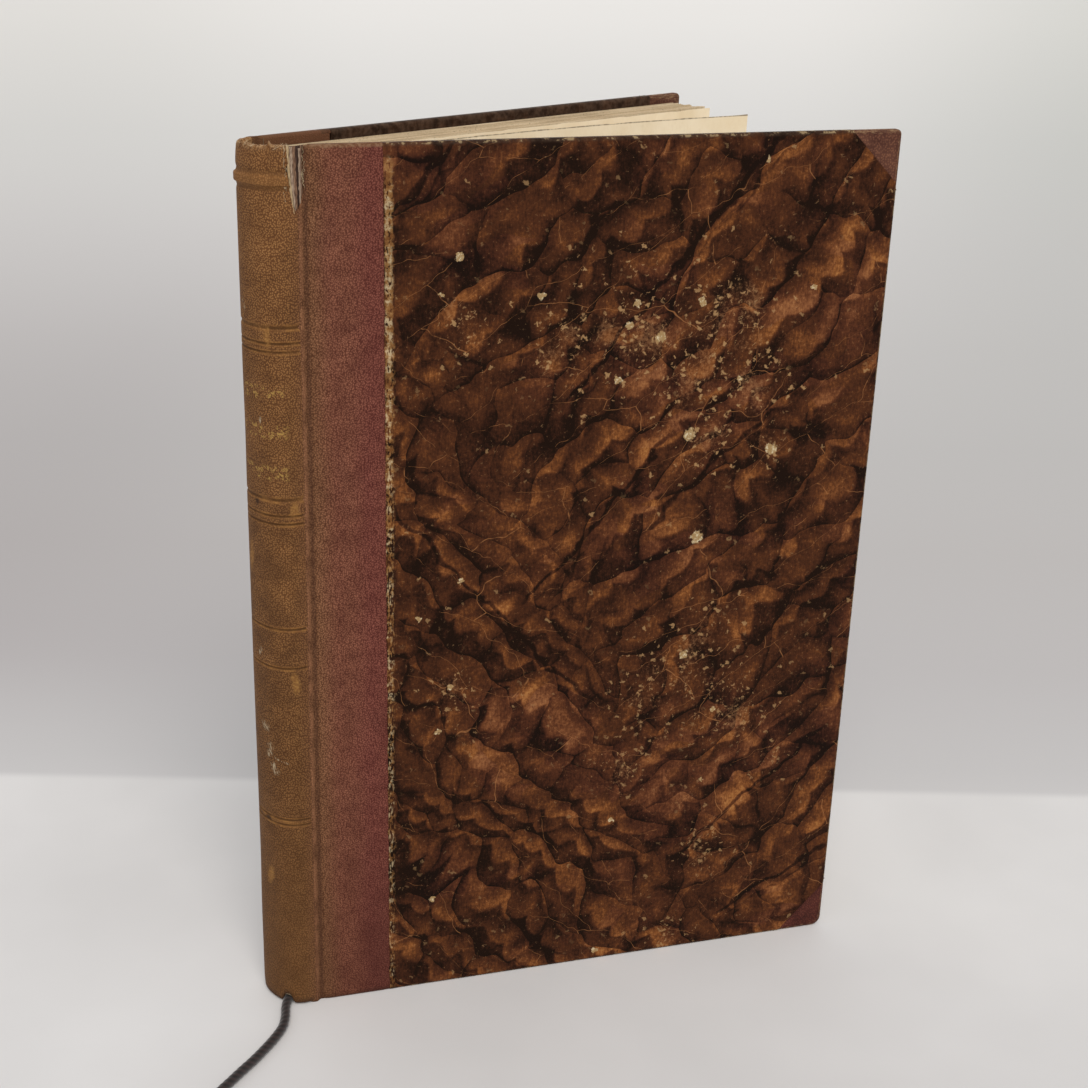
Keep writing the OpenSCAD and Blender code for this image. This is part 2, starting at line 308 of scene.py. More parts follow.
# %% Sheets
def wobble(where, seed, size):
    """A smooth, repeatable wander between about -1 and 1 along a length in millimetres."""
    where = np.asarray(where, float)
    turns = np.zeros_like(where)
    for wave in range(5):
        phase = seed * (1.7 + 0.9 * wave) + 2.3 * wave
        turns += np.sin(where / size * (0.8 + 0.63 * wave) + phase) / (1 + 0.5 * wave)
    return turns / 2.2


def smooth(share):
    """An even rise from 0 to 1 that starts and ends level."""
    return share * share * (3 - 2 * share)


def grid_faces(rows, cols, first, back=False):
    corners = [(r * cols + c, r * cols + c + 1, (r + 1) * cols + c + 1, (r + 1) * cols + c)
               for r in range(rows - 1) for c in range(cols - 1)]
    return [tuple(first + i for i in (q[::-1] if back else q)) for q in corners]


def finish_mesh(name, points, faces, sheet, finish, sharp=35.0, marks=None):
    """A mesh object in the row frame, with its sheet places, clean normals and finish."""
    mesh = bpy.data.meshes.new(name)
    mesh.from_pydata(to_row(points).tolist(), [], faces)
    for label, values in (("sheet", sheet), ("marks", marks)):
        if values is not None:
            layer = mesh.attributes.new(label, "FLOAT_VECTOR", "POINT")
            layer.data.foreach_set("vector", np.asarray(values, np.float32).ravel())
    clean_mesh(mesh, sharp)
    mesh.materials.append(finish)
    piece = bpy.data.objects.new(name, mesh)
    bpy.context.scene.collection.objects.link(piece)
    triangles = sum(len(p.vertices) - 2 for p in mesh.polygons)
    print(f"{name}: {len(mesh.vertices)} points, {triangles} triangles")
    return piece


def clean_mesh(mesh, sharp):
    """Merges points that coincide, points the faces outwards and sets smooth shading."""
    work = bmesh.new()
    work.from_mesh(mesh)
    bmesh.ops.remove_doubles(work, verts=work.verts, dist=2e-6)
    bmesh.ops.dissolve_degenerate(work, edges=work.edges, dist=1e-7)
    bmesh.ops.recalc_face_normals(work, faces=work.faces)
    work.to_mesh(mesh)
    work.free()
    mesh.shade_smooth()
    mesh.set_sharp_from_angle(angle=math.radians(sharp))


def sheet_piece(name, face, back, sheet, finish, marks=None):
    """Closes a face grid and a back grid, rows by columns, into one thin solid."""
    rows, cols = face.shape[:2]
    count = rows * cols
    points = np.concatenate([face.reshape(-1, 3), back.reshape(-1, 3)])
    faces = grid_faces(rows, cols, 0) + grid_faces(rows, cols, count, True)
    rim = ([(0, c) for c in range(cols)] + [(r, cols - 1) for r in range(1, rows)]
           + [(rows - 1, c) for c in range(cols - 2, -1, -1)]
           + [(r, 0) for r in range(rows - 2, 0, -1)])
    ring = [r * cols + c for r, c in rim]
    for here, there in zip(ring, ring[1:] + ring[:1]):
        faces.append((there, here, here + count, there + count))
    places = np.concatenate([sheet.reshape(-1, 3)] * 2)
    marks = None if marks is None else np.concatenate([marks.reshape(-1, 3)] * 2)
    return finish_mesh(name, points, faces, places, finish, marks=marks)


# %% [markdown]
# ## Going round the edge of a board
# The covering lies on the face of the board, goes round its edge and is glued
# down inside. One rule gives that path for any distance along the sheet: flat,
# a quarter turn, across the thickness, another quarter turn, and back inside.

# %% Round an edge
EDGE_R = 0.7


def over_edge(s, outer, inner, bend=EDGE_R):
    """Distance past the start of the bend, depth, and the outward normal (out, deeper)."""
    s, outer, inner, bend = np.broadcast_arrays(
        *(np.asarray(v, float) for v in (s, outer, inner, bend)))
    arc = bend * math.pi / 2
    across = inner - outer - 2 * bend
    first = np.clip(s / bend, 0, math.pi / 2)
    second = np.clip((s - arc - across) / bend, 0, math.pi / 2)
    steps = [s <= 0, s <= arc, s <= arc + across, s <= 2 * arc + across]
    out = np.select(steps, [s, bend * np.sin(first), bend, bend * np.cos(second)],
                    -(s - 2 * arc - across))
    deep = np.select(steps, [outer, outer + bend * (1 - np.cos(first)), outer + bend + (s - arc),
                             inner - bend + bend * np.sin(second)], inner)
    face_out = np.select(steps, [0 * s, np.sin(first), 1 + 0 * s, np.cos(second)], 0 * s)
    face_deep = np.select(steps, [-1 + 0 * s, -np.cos(first), 0 * s, np.sin(second)], 1 + 0 * s)
    return out, deep, face_out, face_deep


def edge_stops(turn, fine=5, inside=6):
    """Lengths along the sheet at which a path over an edge and turned in needs a point."""
    arc, across = EDGE_R * math.pi / 2, INNER_Y - 2 * EDGE_R
    return np.concatenate([
        np.linspace(0, arc, fine + 1)[1:], arc + np.linspace(0, across, 3)[1:],
        arc + across + np.linspace(0, arc, fine + 1)[1:],
        2 * arc + across + np.linspace(0, turn, inside + 1)[1:]])


print("round an edge the sheet covers", round(edge_stops(0)[-1], 2), "mm")

# %% [markdown]
# ## The bookmark cord
# A thin dark cord hangs out of the book at the tail of the spine and runs off
# over the table. The photograph shows only its first few centimetres, and the
# rest is a short end with a knot. Cords come first, because their route belongs
# to the construction model: these are the same points. The tube is twisted from
# three strands, so its outline is a rounded three-leaf shape that turns as it goes.

# %% Cord along its route
CORD_D = 2.2
ROUTE = np.array([
    (12.6, 9.1, 22), (12.6, 9.1, 17.4), (12.4, 9.1, 13), (11.7, 9.1, 8.9), (9.9, 9.1, 5.2),
    (6.7, 8.9, 2.5), (2.6, 8.3, 1.25), (-1.8, 7.2, 1.15), (-5.7, 5.4, 1.15),
    (-8.9, 2.8, 1.15), (-11.6, -0.5, 1.15), (-14.6, -3.3, 1.15), (-18.5, -5.4, 1.15),
    (-22.9, -7.2, 1.15), (-27.4, -8.8, 1.15), (-31.8, -10.1, 1.15), (-36.2, -11.5, 1.15),
    (-41.0, -13.0, 1.15), (-45.8, -15.0, 1.15), (-50.4, -17.6, 1.15), (-54.6, -21.0, 1.15),
    (-58.2, -24.8, 1.2), (-61.2, -28.6, 1.6), (-63.2, -31.2, 2.2)], float)


def smooth_line(points, per_span):
    """A curve that passes through every point, bending evenly between them."""
    points = np.asarray(points, float)
    padded = np.concatenate([[2 * points[0] - points[1]], points, [2 * points[-1] - points[-2]]])
    line = []
    for a, b, c, d in zip(padded, padded[1:], padded[2:], padded[3:]):
        for t in np.arange(per_span) / per_span:
            line.append(0.5 * (2 * b + (c - a) * t + (2 * a - 5 * b + 4 * c - d) * t * t
                               + (3 * b - a - 3 * c + d) * t ** 3))
    return np.array(line + [points[-1]])


def twisted_tube(name, line, radius, strands, pitch, sides, finish):
    """A tube along a line whose strands wind round it once for every pitch of length."""
    steps = np.linalg.norm(np.diff(line, axis=0), axis=1)
    run = np.concatenate([[0], np.cumsum(steps)])
    tangent = np.gradient(line, axis=0)
    tangent /= np.linalg.norm(tangent, axis=1)[:, None]
    side = np.cross(tangent[0], (0, 1, 0))
    rings, places = [], []
    around = np.arange(sides) / sides * 2 * math.pi
    for point, along, length in zip(line, tangent, run):
        side = side - along * (side @ along)
        side /= np.linalg.norm(side)
        up = np.cross(along, side)
        swell = 0.95 + 0.05 * np.cos(strands * (around - 2 * math.pi * length / pitch))
        end = min(1.0, 0.35 + min(length, run[-1] - length) / radius)
        ring = point + (radius * end * swell)[:, None] * (
            np.cos(around)[:, None] * side + np.sin(around)[:, None] * up)
        rings.append(ring)
        places.append(np.stack([0 * around + length, around * radius, swell], -1))
    rings, places = np.array(rings), np.array(places)
    count = len(line)
    faces = [(r * sides + c, r * sides + (c + 1) % sides, (r + 1) * sides + (c + 1) % sides,
              (r + 1) * sides + c) for r in range(count - 1) for c in range(sides)]
    faces += [tuple(range(sides)), tuple((count - 1) * sides + c for c in range(sides))[::-1]]
    return finish_mesh(name, rings.reshape(-1, 3), faces, places.reshape(-1, 3), finish, 60)


def cord_finish():
    """Dark brown silk, with a painted highlight along the top of each strand."""
    finish, shader, place = start_finish("dark_silk_cord", "sheet")
    # painted highlight: the top of each strand is coloured lighter
    crown_highlight = place.part(2).step(0.90, 1.0)
    fibre = place.times((2.0, 6.0, 1.0)).noise(1.0, 3)
    shade = crown_highlight * 0.6 + fibre * 0.4
    colour = shade.ramp((0.15, "120d0c"), (0.5, "211816"), (0.9, "352826"))
    end_finish(shader, colour, 0.5, fibre, 0.04)
    shader.inputs["Sheen Weight"].default_value = 0.25
    return finish


cord_silk = cord_finish()
cord_line = smooth_line(ROUTE, 12)
cord = twisted_tube("bookmark_twist", cord_line, CORD_D / 2 + 0.05, 3, 5.2, 18, cord_silk)
CORD_LENGTH = float(np.linalg.norm(np.diff(cord_line, axis=0), axis=1).sum()) * MM
print("cord length", round(CORD_LENGTH, 4), "m")

# %% [markdown]
# The knot at the end is the same cord crossed over itself. Its path is a trefoil,
# the simplest closed knot, pressed a little flat as a tight knot is.

# %% Knot at the end of the cord
KNOT_AT = np.array((-63.6, -31.8, 2.4))
turn = np.linspace(0, 2 * math.pi, 73)
trefoil = np.stack([np.sin(turn) + 2 * np.sin(2 * turn), np.cos(turn) - 2 * np.cos(2 * turn),
                    -1.1 * np.sin(3 * turn)], -1) * 0.52 + KNOT_AT
knot = twisted_tube("bookmark_end_knot", trefoil, 0.8, 3, 3.0, 12, cord_silk)
for piece, node in ((cord, "bookmark_cord"), (knot, "bookmark_knot")):
    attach(piece, "book_block")
    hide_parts(node)

# %% [markdown]
# ## The grain of the cloth
# Spine, joints and corners are one kind of book cloth, embossed with a fine grain
# so that it passes for leather. Every grain is a little raised pebble: its top is
# rubbed pale and the valleys keep the dye. The spine has faded to tan, the sides
# are red brown, and the strip that the paper shaded is still wine red.

# %% Grain and book cloth
def pebble_grain(place, size=0.5):
    """Raised pebbles in slightly wavy rows: 1 on their tops, 0 between them."""
    loose = place.warped(2.5, 0.5, 1, True)
    tops = loose.times((1.0, 0.86, 1.0)).cells(size, flat=True, ragged=0.8).step(0.52, 0.12)
    return tops * 0.75 + place.noise(0.35, 1, flat=True) * 0.25


def patch(place, where, across, along, lean=0.0):
    """A soft patch: 1 in the middle of where, 0 at its rim. A warped place makes it ragged."""
    local = place.less((where[0], where[1], 0)).turn(-lean, (1 / across, 1 / along, 0))
    return local.reach((0, 0, 0)).step(1.0, 0.35)


def joined(masks):
    """The largest of several masks. Each is taken as it is made, which keeps the shader small."""
    total = None
    for mask in masks:
        total = mask if total is None else total.most(mask)
    return total


def side_cloth_finish():
    finish, shader, place = start_finish("red_brown_book_cloth", "sheet")
    grain = pebble_grain(place.turn(32), 0.44)
    threads = place.times((1 / 0.32, 1 / 2.2, 1)).noise(1, 2, 0.6, flat=True).step(0.38, 0.62)
    x, z = place.part(0), place.part(1)
    blotch, middle = place.noise(24, 3), place.noise(5, 3)
    shaded = (x + blotch * 8 - 4 + z.step(40, 215, 1.2, -0.6)).step(8.0, 15.0)
    near = (x + blotch * 3 - 1.5).step(6.5, 0.5)
    cloudy = blotch * 0.5 + middle * 0.5
    valley = cloudy.ramp((0.3, "3f1b13"), (0.7, "50281c"))
    valley = valley.dab("472b17", near * 0.75).dab("441815", shaded * 0.8)
    rubbed = cloudy.ramp((0.3, "8b5742"), (0.7, "9e674f"))
    rubbed = rubbed.dab("9a6f4c", near * 0.75).dab("8d5145", shaded * 0.8)
    groove_shade = abs(x - 0.45).step(0.75, 0.1)
    ridge = abs(x + 0.75).step(0.7, 0.2)
    colour = valley.mix(rubbed, (grain * 0.75 + threads * 0.25)
                        * middle.step(0.25, 0.62, 0.65, 0.95) * z.step(0, 80, 0.7, 1.0))
    colour = colour.dab("a3704f", ridge * middle.step(0.3, 0.6) * 0.35)
    # painted shade in the groove of the joint
    colour = colour.dab("40261a", groove_shade * 0.5)
    colour = colour.dab("67472f", z.step(209.0, 209.8) * 0.75)
    threadbare = joined((z.step(209.0, 209.6) * z.step(211.4, 210.2), z.step(0.9, -0.5)))
    colour = colour.dab("94755a", threadbare * place.noise(0.9, 2).step(0.42, 0.62) * 0.5)
    colour = colour.dab("3a2015", z.step(48, 4) * shaded * 0.28)
    # darker at the bottom edge: dirt, and painted contact shadow where the cloth meets the table
    colour = colour.dab("2e1a12", z.step(2.0, 0.3) * 0.45)
    smudge = place.times((1.0, 0.45, 1.0)).noise(11, 2).step(0.6, 0.75)
    colour = colour.dab("40241d", smudge * 0.25)
    end_finish(shader, colour, 0.75, grain, 0.08, gloss=0.12)
    return finish


side_cloth = side_cloth_finish()
print("grain is made of", len(side_cloth.node_tree.nodes), "nodes")

# %% [markdown]
# ## The cloth over the joints and boards
# One piece of cloth comes from under the spine's edge, dips into the joint, goes
# over the edge of the board and across it as far as the paper. It is turned in at
# head and tail. It has to bend when the cover opens, so each of its points follows
# the book, the cover, or both by the share that its distance from the hinge gives.

# %% Cloth that bends at the joints
JOINT_FROM, JOINT_TO = -1.2, 1.0
JOINT_U = np.array((-2.3, -1.9, -1.5, -1.0, -0.5, 0.0, 0.4, 0.8, 1.4, 2.2, 3.0, 15.5, 17.0, 19.6))
JOINT_DEEP = np.array((0.95, 0.60, 0.33, 0.12, 0.20, 0.42, 0.50, 0.40, 0.12, 0.02, 0.0, 0.0,
                       0.10, 0.12))
CLOTH_THICK, CLOTH_END = 0.26, 19.4
SPLIT_FROM = 196.4


def eased(value, places, heights):
    """Goes through the given heights with level turns at each of them."""
    spot = np.clip(np.searchsorted(places, value, side="right") - 1, 0, len(places) - 2)
    share = np.clip((value - places[spot]) / (places[spot + 1] - places[spot]), 0, 1)
    return heights[spot] + (heights[spot + 1] - heights[spot]) * smooth(share)


def height_stops(turn_in, face_z):
    """Stops up the sheet, from the turn-in at the tail to that at the head: (end, length)."""
    over = edge_stops(turn_in)
    tail = [("tail", s) for s in over[::-1]]
    return tail + [("face", z) for z in face_z] + [("head", s) for s in over]


def stop_heights(stops):
    """How high each stop stands; the turn-ins count as the ends of the board."""
    return np.array([{"head": BOARD_H, "tail": 0.0}.get(end, value) for end, value in stops])


def cloth_row(stop, outer, inner, low=0.0, high=BOARD_H):
    """Height, depth, outward normal (up, deeper) and place on the sheet, across one stop."""
    end, value = stop
    bend = np.minimum(EDGE_R, (inner - outer) / 2 * 0.95)
    if end == "face":
        near_tail = eased(value, np.array((EDGE_R, 13.0)), np.array((1.0, 0.0)))
        near_head = eased(value, np.array((BOARD_H - 7.5, BOARD_H - EDGE_R)),
                          np.array((0.0, 1.0)))
        z = (value + near_tail * (low + bend - EDGE_R)
             + near_head * (high - BOARD_H - bend + EDGE_R))
        return z, outer, 0 * bend, 0 * bend - 1, value + 0 * bend
    nominal = 2 * (EDGE_R * math.pi / 2) + INNER_Y - 2 * EDGE_R
    local = 2 * (bend * math.pi / 2) + (inner - outer) - 2 * bend
    s = np.where(value <= nominal, value * local / nominal, local + value - nominal)
    out, deep, face_out, face_deep = over_edge(s, outer, inner, bend)
    if end == "head":
        return high - bend + out, deep, face_out, face_deep, BOARD_H - EDGE_R + value + 0 * bend
    return low + bend - out, deep, -face_out, face_deep, EDGE_R - value + 0 * bend


def joint_cloth(name, is_front, finish):
    face_z = np.linspace(EDGE_R, BOARD_H - EDGE_R, 190)
    stops = height_stops(TURN_IN - EDGE_R, face_z)
    start = np.full(len(stops), JOINT_U[0])
    if is_front:
        torn = np.clip((stop_heights(stops) - SPLIT_FROM) / 5.0, 0, 1) ** 0.45
        ragged = wobble(np.arange(len(stops)), 3, 2.2) * 0.16
        start = start + torn * (0.25 + ragged - start)
    across = np.concatenate([np.linspace(0, 0.2, 34), np.linspace(0.2, 1, 24)[1:]])
    u = start[:, None] + across[None, :] * (CLOTH_END - start[:, None])
    outer = eased(u, JOINT_U, JOINT_DEEP)
    inner = np.minimum(INNER_Y, outer + 0.62 + 2.4 * np.clip((u - 0.7) / 1.1, 0, 1))
    rows = [cloth_row(stop, outer[i], inner[i]) for i, stop in enumerate(stops)]
    z, deep, face_z_out, face_deep, q = (np.array(parts) for parts in zip(*rows))
    face = np.stack([u, deep, z], -1)
    back = np.stack([u, deep - face_deep * CLOTH_THICK, z - face_z_out * CLOTH_THICK], -1)
    share = smooth(np.clip((u - JOINT_FROM) / (JOINT_TO - JOINT_FROM), 0, 1))
    sheet = np.stack([u, q, deep * 0], -1)
    place = (lambda points: turned(points, share)) if is_front else mirrored
    return sheet_piece(name, place(face), place(back), sheet, finish)


front_side = joint_cloth("front_side_cloth", True, side_cloth)
back_side = joint_cloth("back_side_cloth", False, side_cloth)
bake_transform(front_side)
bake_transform(back_side)
for piece, node in ((front_side, "front_cloth_side"), (back_side, "back_cloth_side")):
    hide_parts(node)

# %% [markdown]
# ## Marbled paper
# The boards are covered with marbled paper of the kind with rippled folds: the
# maker rocks the sheet as it goes down on the size, so the drops of brown colour
# turn into overlapping scales that run in slanting rows, each with a dark rim and
# a light middle. Cells of a Voronoi pattern are the drops. Soft noise bends their
# rims, the place inside each cell gives its shading, and rows of ripples cross them.

# %% Drops and ripples
def drops(place, size, stretch):
    """Overlapping scales: lightness, a crisp dark rim, and a random number for each one."""
    lying = place.times((1 / stretch, 1.0, 1.0))
    centre = lying.cells(size, "F1", flat=True)
    up = lying.less(centre.other("Position")).along((0.3 / size, 0.95 / size, 0))
    edge = lying.cells(size, "DISTANCE_TO_EDGE", flat=True)
    shadow = edge.step(0.34, 0.0) * up.step(0.45, -0.35, 0.25, 1.0)
    line = edge.step(0.07, 0.01) * up.step(0.35, -0.25)
    light = up * 0.34 - centre * centre * 0.30 - shadow * 0.56 + 0.70
    return light, line, centre.other("Color").part(0)


def ripples(place, period, wide, tall):
    """Rows of scallops: dark at each front, bright just behind it, then slowly darker."""
    level = (abs((place.part(0) * (math.pi / wide)).sine()) * tall + place.part(1)) / period
    behind = level.fraction()
    return behind.step(0.0, 0.16) * behind.step(1.0, 0.22)


def hair_lines(place, size, width):
    """A net of fine lines lying mostly one way, as where scratches took the colour off."""
    net = place.times((0.3, 1, 1)).cells(size, "DISTANCE_TO_EDGE", flat=True)
    return net.step(width / size, width / size * 0.3)


def fold(place, start, end, width):
    """A double dark line along a straight fold from start to end."""
    run = np.subtract(end, start)
    length = float(np.hypot(*run))
    local = place.less((start[0], start[1], 0))
    beside = local.along((-run[1] / length, run[0] / length, 0))
    onward = local.along((run[0] / length, run[1] / length, 0))
    inside = onward.step(-2.0, 3.0) * onward.step(length + 2.0, length - 3.0)
    return inside * abs(beside).step(width, width * 0.35) * (beside * 2.3).sine().step(-0.1, 0.9)


CREAM_SPOTS = (
    (33.8, 185.6, 1.1), (52.4, 176.1, 1.0), (71.3, 155.9, 1.1), (90.7, 172.8, 1.2),
    (110.5, 136.7, 1.7), (93.0, 115.8, 1.8), (91.7, 85.0, 1.2), (29.7, 177.5, 0.7),
    (34.8, 110.2, 0.8), (24.8, 101.5, 0.8), (32.4, 82.9, 0.8), (29.6, 71.5, 0.9),
    (100.3, 69.1, 0.9), (101.0, 154.3, 0.8), (81.0, 165.2, 1.3), (75.0, 173.2, 1.0),
    (73.2, 168.4, 1.1), (89.6, 141.6, 1.6), (104.5, 204.2, 0.7), (118.0, 175.0, 0.8),
    (28.5, 25.0, 0.9), (72.0, 2.6, 1.0), (98.5, 49.5, 0.6), (75.0, 41.0, 0.7))
FOLDS = (((60, 152), (97, 197), 2.4), ((92, 190), (110, 211), 2.6), ((17, 193), (36, 212), 2.6),
         ((52, 104), (86, 142), 2.2), ((80, 118), (110, 146), 2.0), ((18, 128), (66, 76), 1.8),
         ((104, 8), (138, 26), 2.4), ((92, 27), (132, 60), 2.0))
# places on the front sheet as (x, z, radius): rubbed, dark and light
WORN = ((78, 167, 17), (97, 168, 13), (88, 158, 16), (58, 166, 9), (104, 152, 10),
        (95, 140, 9), (110, 136, 5), (36, 170, 6), (96, 86, 11), (84, 78, 12),
        (104, 70, 12), (118, 53, 5), (102, 30, 8), (76, 56, 7), (92, 4, 7), (33, 80, 6))
DARK = ((23, 186, 7), (52, 179, 9), (40, 172, 6), (70, 192, 12), (62, 163, 6), (45, 205, 12),
        (31, 150, 6), (58, 93, 6), (30, 96, 6), (24, 32, 10), (90, 36, 8), (62, 12, 10),
        (83, 107, 8), (115, 122, 12), (131, 100, 10), (40, 14, 8), (60, 66, 6), (88, 130, 5),
        (128, 195, 6), (110, 186, 6), (64, 148, 6), (122, 62, 6))
LIGHT = ((31, 191, 6), (75, 137, 7), (58, 117, 7), (62, 104, 7), (74, 90, 6), (57, 77, 7),
         (38, 60, 8), (30, 72, 5), (110, 101, 4), (128, 184, 7), (112, 170, 8), (100, 198, 5),
         (28, 157, 6), (85, 11, 7), (73, 5, 6), (96, 22, 6), (126, 28, 9), (110, 38, 9),
         (48, 124, 6), (31, 128, 6), (88, 188, 5), (106, 88, 7), (48, 40, 7), (126, 12, 7))


def paper_marks(x, z, on_front):
    """Three numbers for each point of the sheet: tone, wear, and which way the ripples fall."""
    def pools(places):
        total = 0 * x
        for px, pz, radius in places:
            far = np.hypot(x - px + 1.5 * wobble(z, px, 5),
                           z - pz + 1.5 * wobble(x, pz, 5)) / radius
            total = np.maximum(total, np.exp(-(far * 1.15) ** 2))
        return total

    slope = np.clip((104 - x * 0.8 - z * 0.45 + 14 * wobble(x - z, 2, 26)) / 24, 0, 1)
    if not on_front:
        return np.stack([0.5 * wobble(x + 0.4 * z, 3, 21) * wobble(z, 5, 17),
                         0.05 + 0.15 * wobble(x - 0.5 * z, 7, 23), 1 - slope], -1)
    return np.stack([pools(LIGHT) * 0.8 - pools(DARK), pools(WORN), slope], -1)


def marbled_colour(place, scratched, noises, tone, falling, folds):
    """Large scales in two directions, small ones between them, all bent together."""
    middle, fine, broken, weave = noises
    bent = place.warped(31, 15, 1, True).warped(8, 4.5, 1, True)
    rising, sinking = bent.turn(-47), bent.turn(42)
    light, line, own = (up + (down - up) * falling for up, down in zip(
        drops(rising, 10.5, 1.45), drops(sinking, 9.0, 1.3)))
    rows = ripples(rising, 8.5, 8.0, 2.6)
    rows = rows + (ripples(sinking, 7.5, 7.0, 2.4) - rows) * falling
    small = bent.turn(-15, (0.83, 1, 1)).cells(5.0, flat=True)
    small_own = small.other("Color").part(0)
    broad = place.noise(36, 1, flat=True) - 0.5
    some = middle.step(0.42, 0.58)
    rowed = place.noise(23, 1, flat=True).step(0.30, 0.50)
    depth = (light * 0.44 + (0.42 - small) * 0.22 * some + (own - 0.5) * 0.12 + tone * 0.20
             + (rows - 0.42) * 0.40 * rowed + broad * 0.40 + (middle - 0.5) * 0.42
             + fine * 0.66 + broken * 0.34 + weave * 0.26 + 0.172)
    depth = depth - line * (1.2 - some) * 0.18
    for start, end, width in folds:
        depth = depth - fold(scratched, start, end, width) * 0.38
    colour = depth.ramp((0.0, "1b0e07"), (0.15, "28150c"), (0.28, "361d11"), (0.5, "4a2917"),
                        (0.62, "5b341b"), (0.74, "704222"), (0.86, "87532b"), (1.0, "9f6a39"))
    red = (small_own * 0.6 + broad * 1.6 + 0.1).step(0.35, 0.9)
    reddened = depth.ramp((0.0, "140a07"), (0.3, "341a12"), (0.6, "57301f"), (1.0, "8a5a3e"))
    return colour.mix(reddened, red * 0.6), own


def worn_face(colour, sheet, hairs, noises, own, wear, spots):
    """Fine lines, scuffs and crumbs where the surface has come away."""
    middle, fine, broken, _ = noises
    colour = colour.dab("a06c42", hairs * (own * 0.4 + wear * 0.5 + broken).step(0.06, 0.40) * 0.58)
    scuffed = (wear * 0.16 + fine * 0.55 + (middle - 0.5) * 0.5).step(0.15, 0.30)
    colour = colour.dab("8d6544", scuffed * 0.4)
    colour = colour.dab("b58e62", fine.step(0.15, 0.26) * (wear * 0.3 + 0.3))
    crumbs = sheet.warped(1.1, 1.9, 2, True)
    flakes = crumbs.turn(30, (0.75, 1, 1)).cells(1.2, flat=True)
    picked = flakes.other("Color").part(1) + wear * 0.16
    loose = flakes.step(0.46, 0.20) * picked.step(0.975, 1.01)
    dust = crumbs.turn(-50, (0.6, 1, 1)).cells(0.7, flat=True)
    grains = dust.step(0.38, 0.12) * (dust.other("Color").part(1) + wear * 0.17).step(0.965, 1.03)
    colour = colour.dab("a8845a", loose * sheet.part(1).step(50, 130, 0.5, 0.75))
    colour = colour.dab("a57f57", grains * 0.6)
    if spots:
        cream = joined(crumbs.reach((x, z, 0)).step(r, r * 0.72) for x, z, r in spots)
        colour = colour.mix(fine.ramp((0.0, "a08258"), (0.16, "d2c3a1")), cream * 0.9)
    return colour, loose


def rubbed_edges(colour, sheet, place, noises, on_front):
    """The edge over the cloth and the edges of the board, rubbed to bare paper. The board's rims
    are painted paler, as rubbed paper and as a painted highlight.
    """
    middle, fine, broken, weave = noises
    x, z = sheet.part(0), sheet.part(1)
    chip = place.noise(1.9, 3, 0.65, flat=True)
    ragged = x + (chip - 0.5) * 2.4 + (middle - 0.5) * 2.0
    strip = (ragged - (middle - 0.5) * 2.5).step(19.3, 18.5) * (x + chip * 0.9).step(17.4, 17.9)
    high_wear = (z + middle * 60).step(130, 215, 0.10, 0.26)
    strip = (strip * (weave * 0.9 + fine * 0.8 + high_wear - 0.10).step(-0.06, 0.10)
             * z.step(208.0, 205.5))
    worn_paper = (chip + fine * 0.6 + broken).ramp((0.25, "7a4f2b"), (0.5, "9c7345"),
                                                   (0.72, "c9b48e"))
    colour = colour.mix(worn_paper, strip * z.step(10, 110, 0.40, 0.68))
    # the rims over the board's edges: rubbed paper, and a painted highlight where the light catches
    # the edges
    rim = joined((z.step(209.35, 209.75) * z.step(212.1, 211.5),
                  z.step(0.7, 0.2) * z.step(-2.2, -1.6),
                  x.step(135.85, 136.35) * x.step(138.6, 138.0)))
    rim = rim * (chip + x.step(100, 128, 0.0, 0.12) - 0.59).step(-0.02, 0.08)
    edge = joined((z.step(208.9, 209.8), z.step(0.9, 0.2), x.step(135.6, 136.4)))
    colour = colour.mix(chip.ramp((0.35, "2b1d14"), (0.65, "4d3b2e")),
                        edge * (0.6 if on_front else 0.9))
    return colour.dab("9c8562" if on_front else "7d6958", rim * 0.75), strip


def marbled_finish(name, shift, on_front):
    finish, shader, sheet = start_finish(name, "sheet")
    marks = Stain(finish.node_tree.nodes.new("ShaderNodeAttribute").outputs["Vector"])
    marks.socket.node.attribute_name = "marks"
    tone, wear, falling = (marks.part(axis) for axis in range(3))
    place = sheet.moved((shift[0], shift[1], 0))
    scratched = place.warped(9, 5, 2, True)
    middle = place.noise(10, 3, flat=True)
    fine = place.noise(0.9, 4, 0.75, flat=True) - 0.5
    broken = place.noise(3.2, 3, 0.6, flat=True) - 0.5
    weave = place.times((1 / 0.45, 1 / 1.5, 1)).noise(1, 1, flat=True) - 0.5
    noises = middle, fine, broken, weave

    folds, spots = (FOLDS, CREAM_SPOTS) if on_front else ((), ())
    colour, own = marbled_colour(place, scratched, noises, tone, falling, folds)
    hairs = hair_lines(scratched.turn(falling.step(0.499, 0.501, -30, 35)), 8.5, 0.048)
    colour, loose = worn_face(colour, sheet, hairs, noises, own, wear, spots)
    colour, strip = rubbed_edges(colour, sheet, place, noises, on_front)
    rough = loose * 0.3 + strip * 0.3 + fine * 0.25 + 0.5
    end_finish(shader, colour, rough, fine * 0.6 + weave * 0.3, 0.06, gloss=0.05)
    return finish


front_marble = marbled_finish("front_marbled_paper_sheet", (0, 0), True)
back_marble = marbled_finish("back_marbled_paper_sheet", (310, 170), False)
print("marbling is made of", len(front_marble.node_tree.nodes), "nodes")

# %% [markdown]
# ## Papering the boards
# The paper starts over the edge of the cloth, which lifts it a little, and that is
# why its edge is rubbed pale all the way down. It goes round head, tail and fore
# edge, and is cut off slantwise for the cloth corners. Each row of the grid simply
# stops at that slanting cut.

# %% Marbled paper on a board
PAPER_THICK = 0.14


def paper_lift(x):
    """Depth of the paper's face: up over the cloth's edge, then down on the board."""
    return eased(x, np.array((16.0, 18.6, 20.4, 500.0)), np.array((-0.03, -0.02, 0.07, 0.07)))


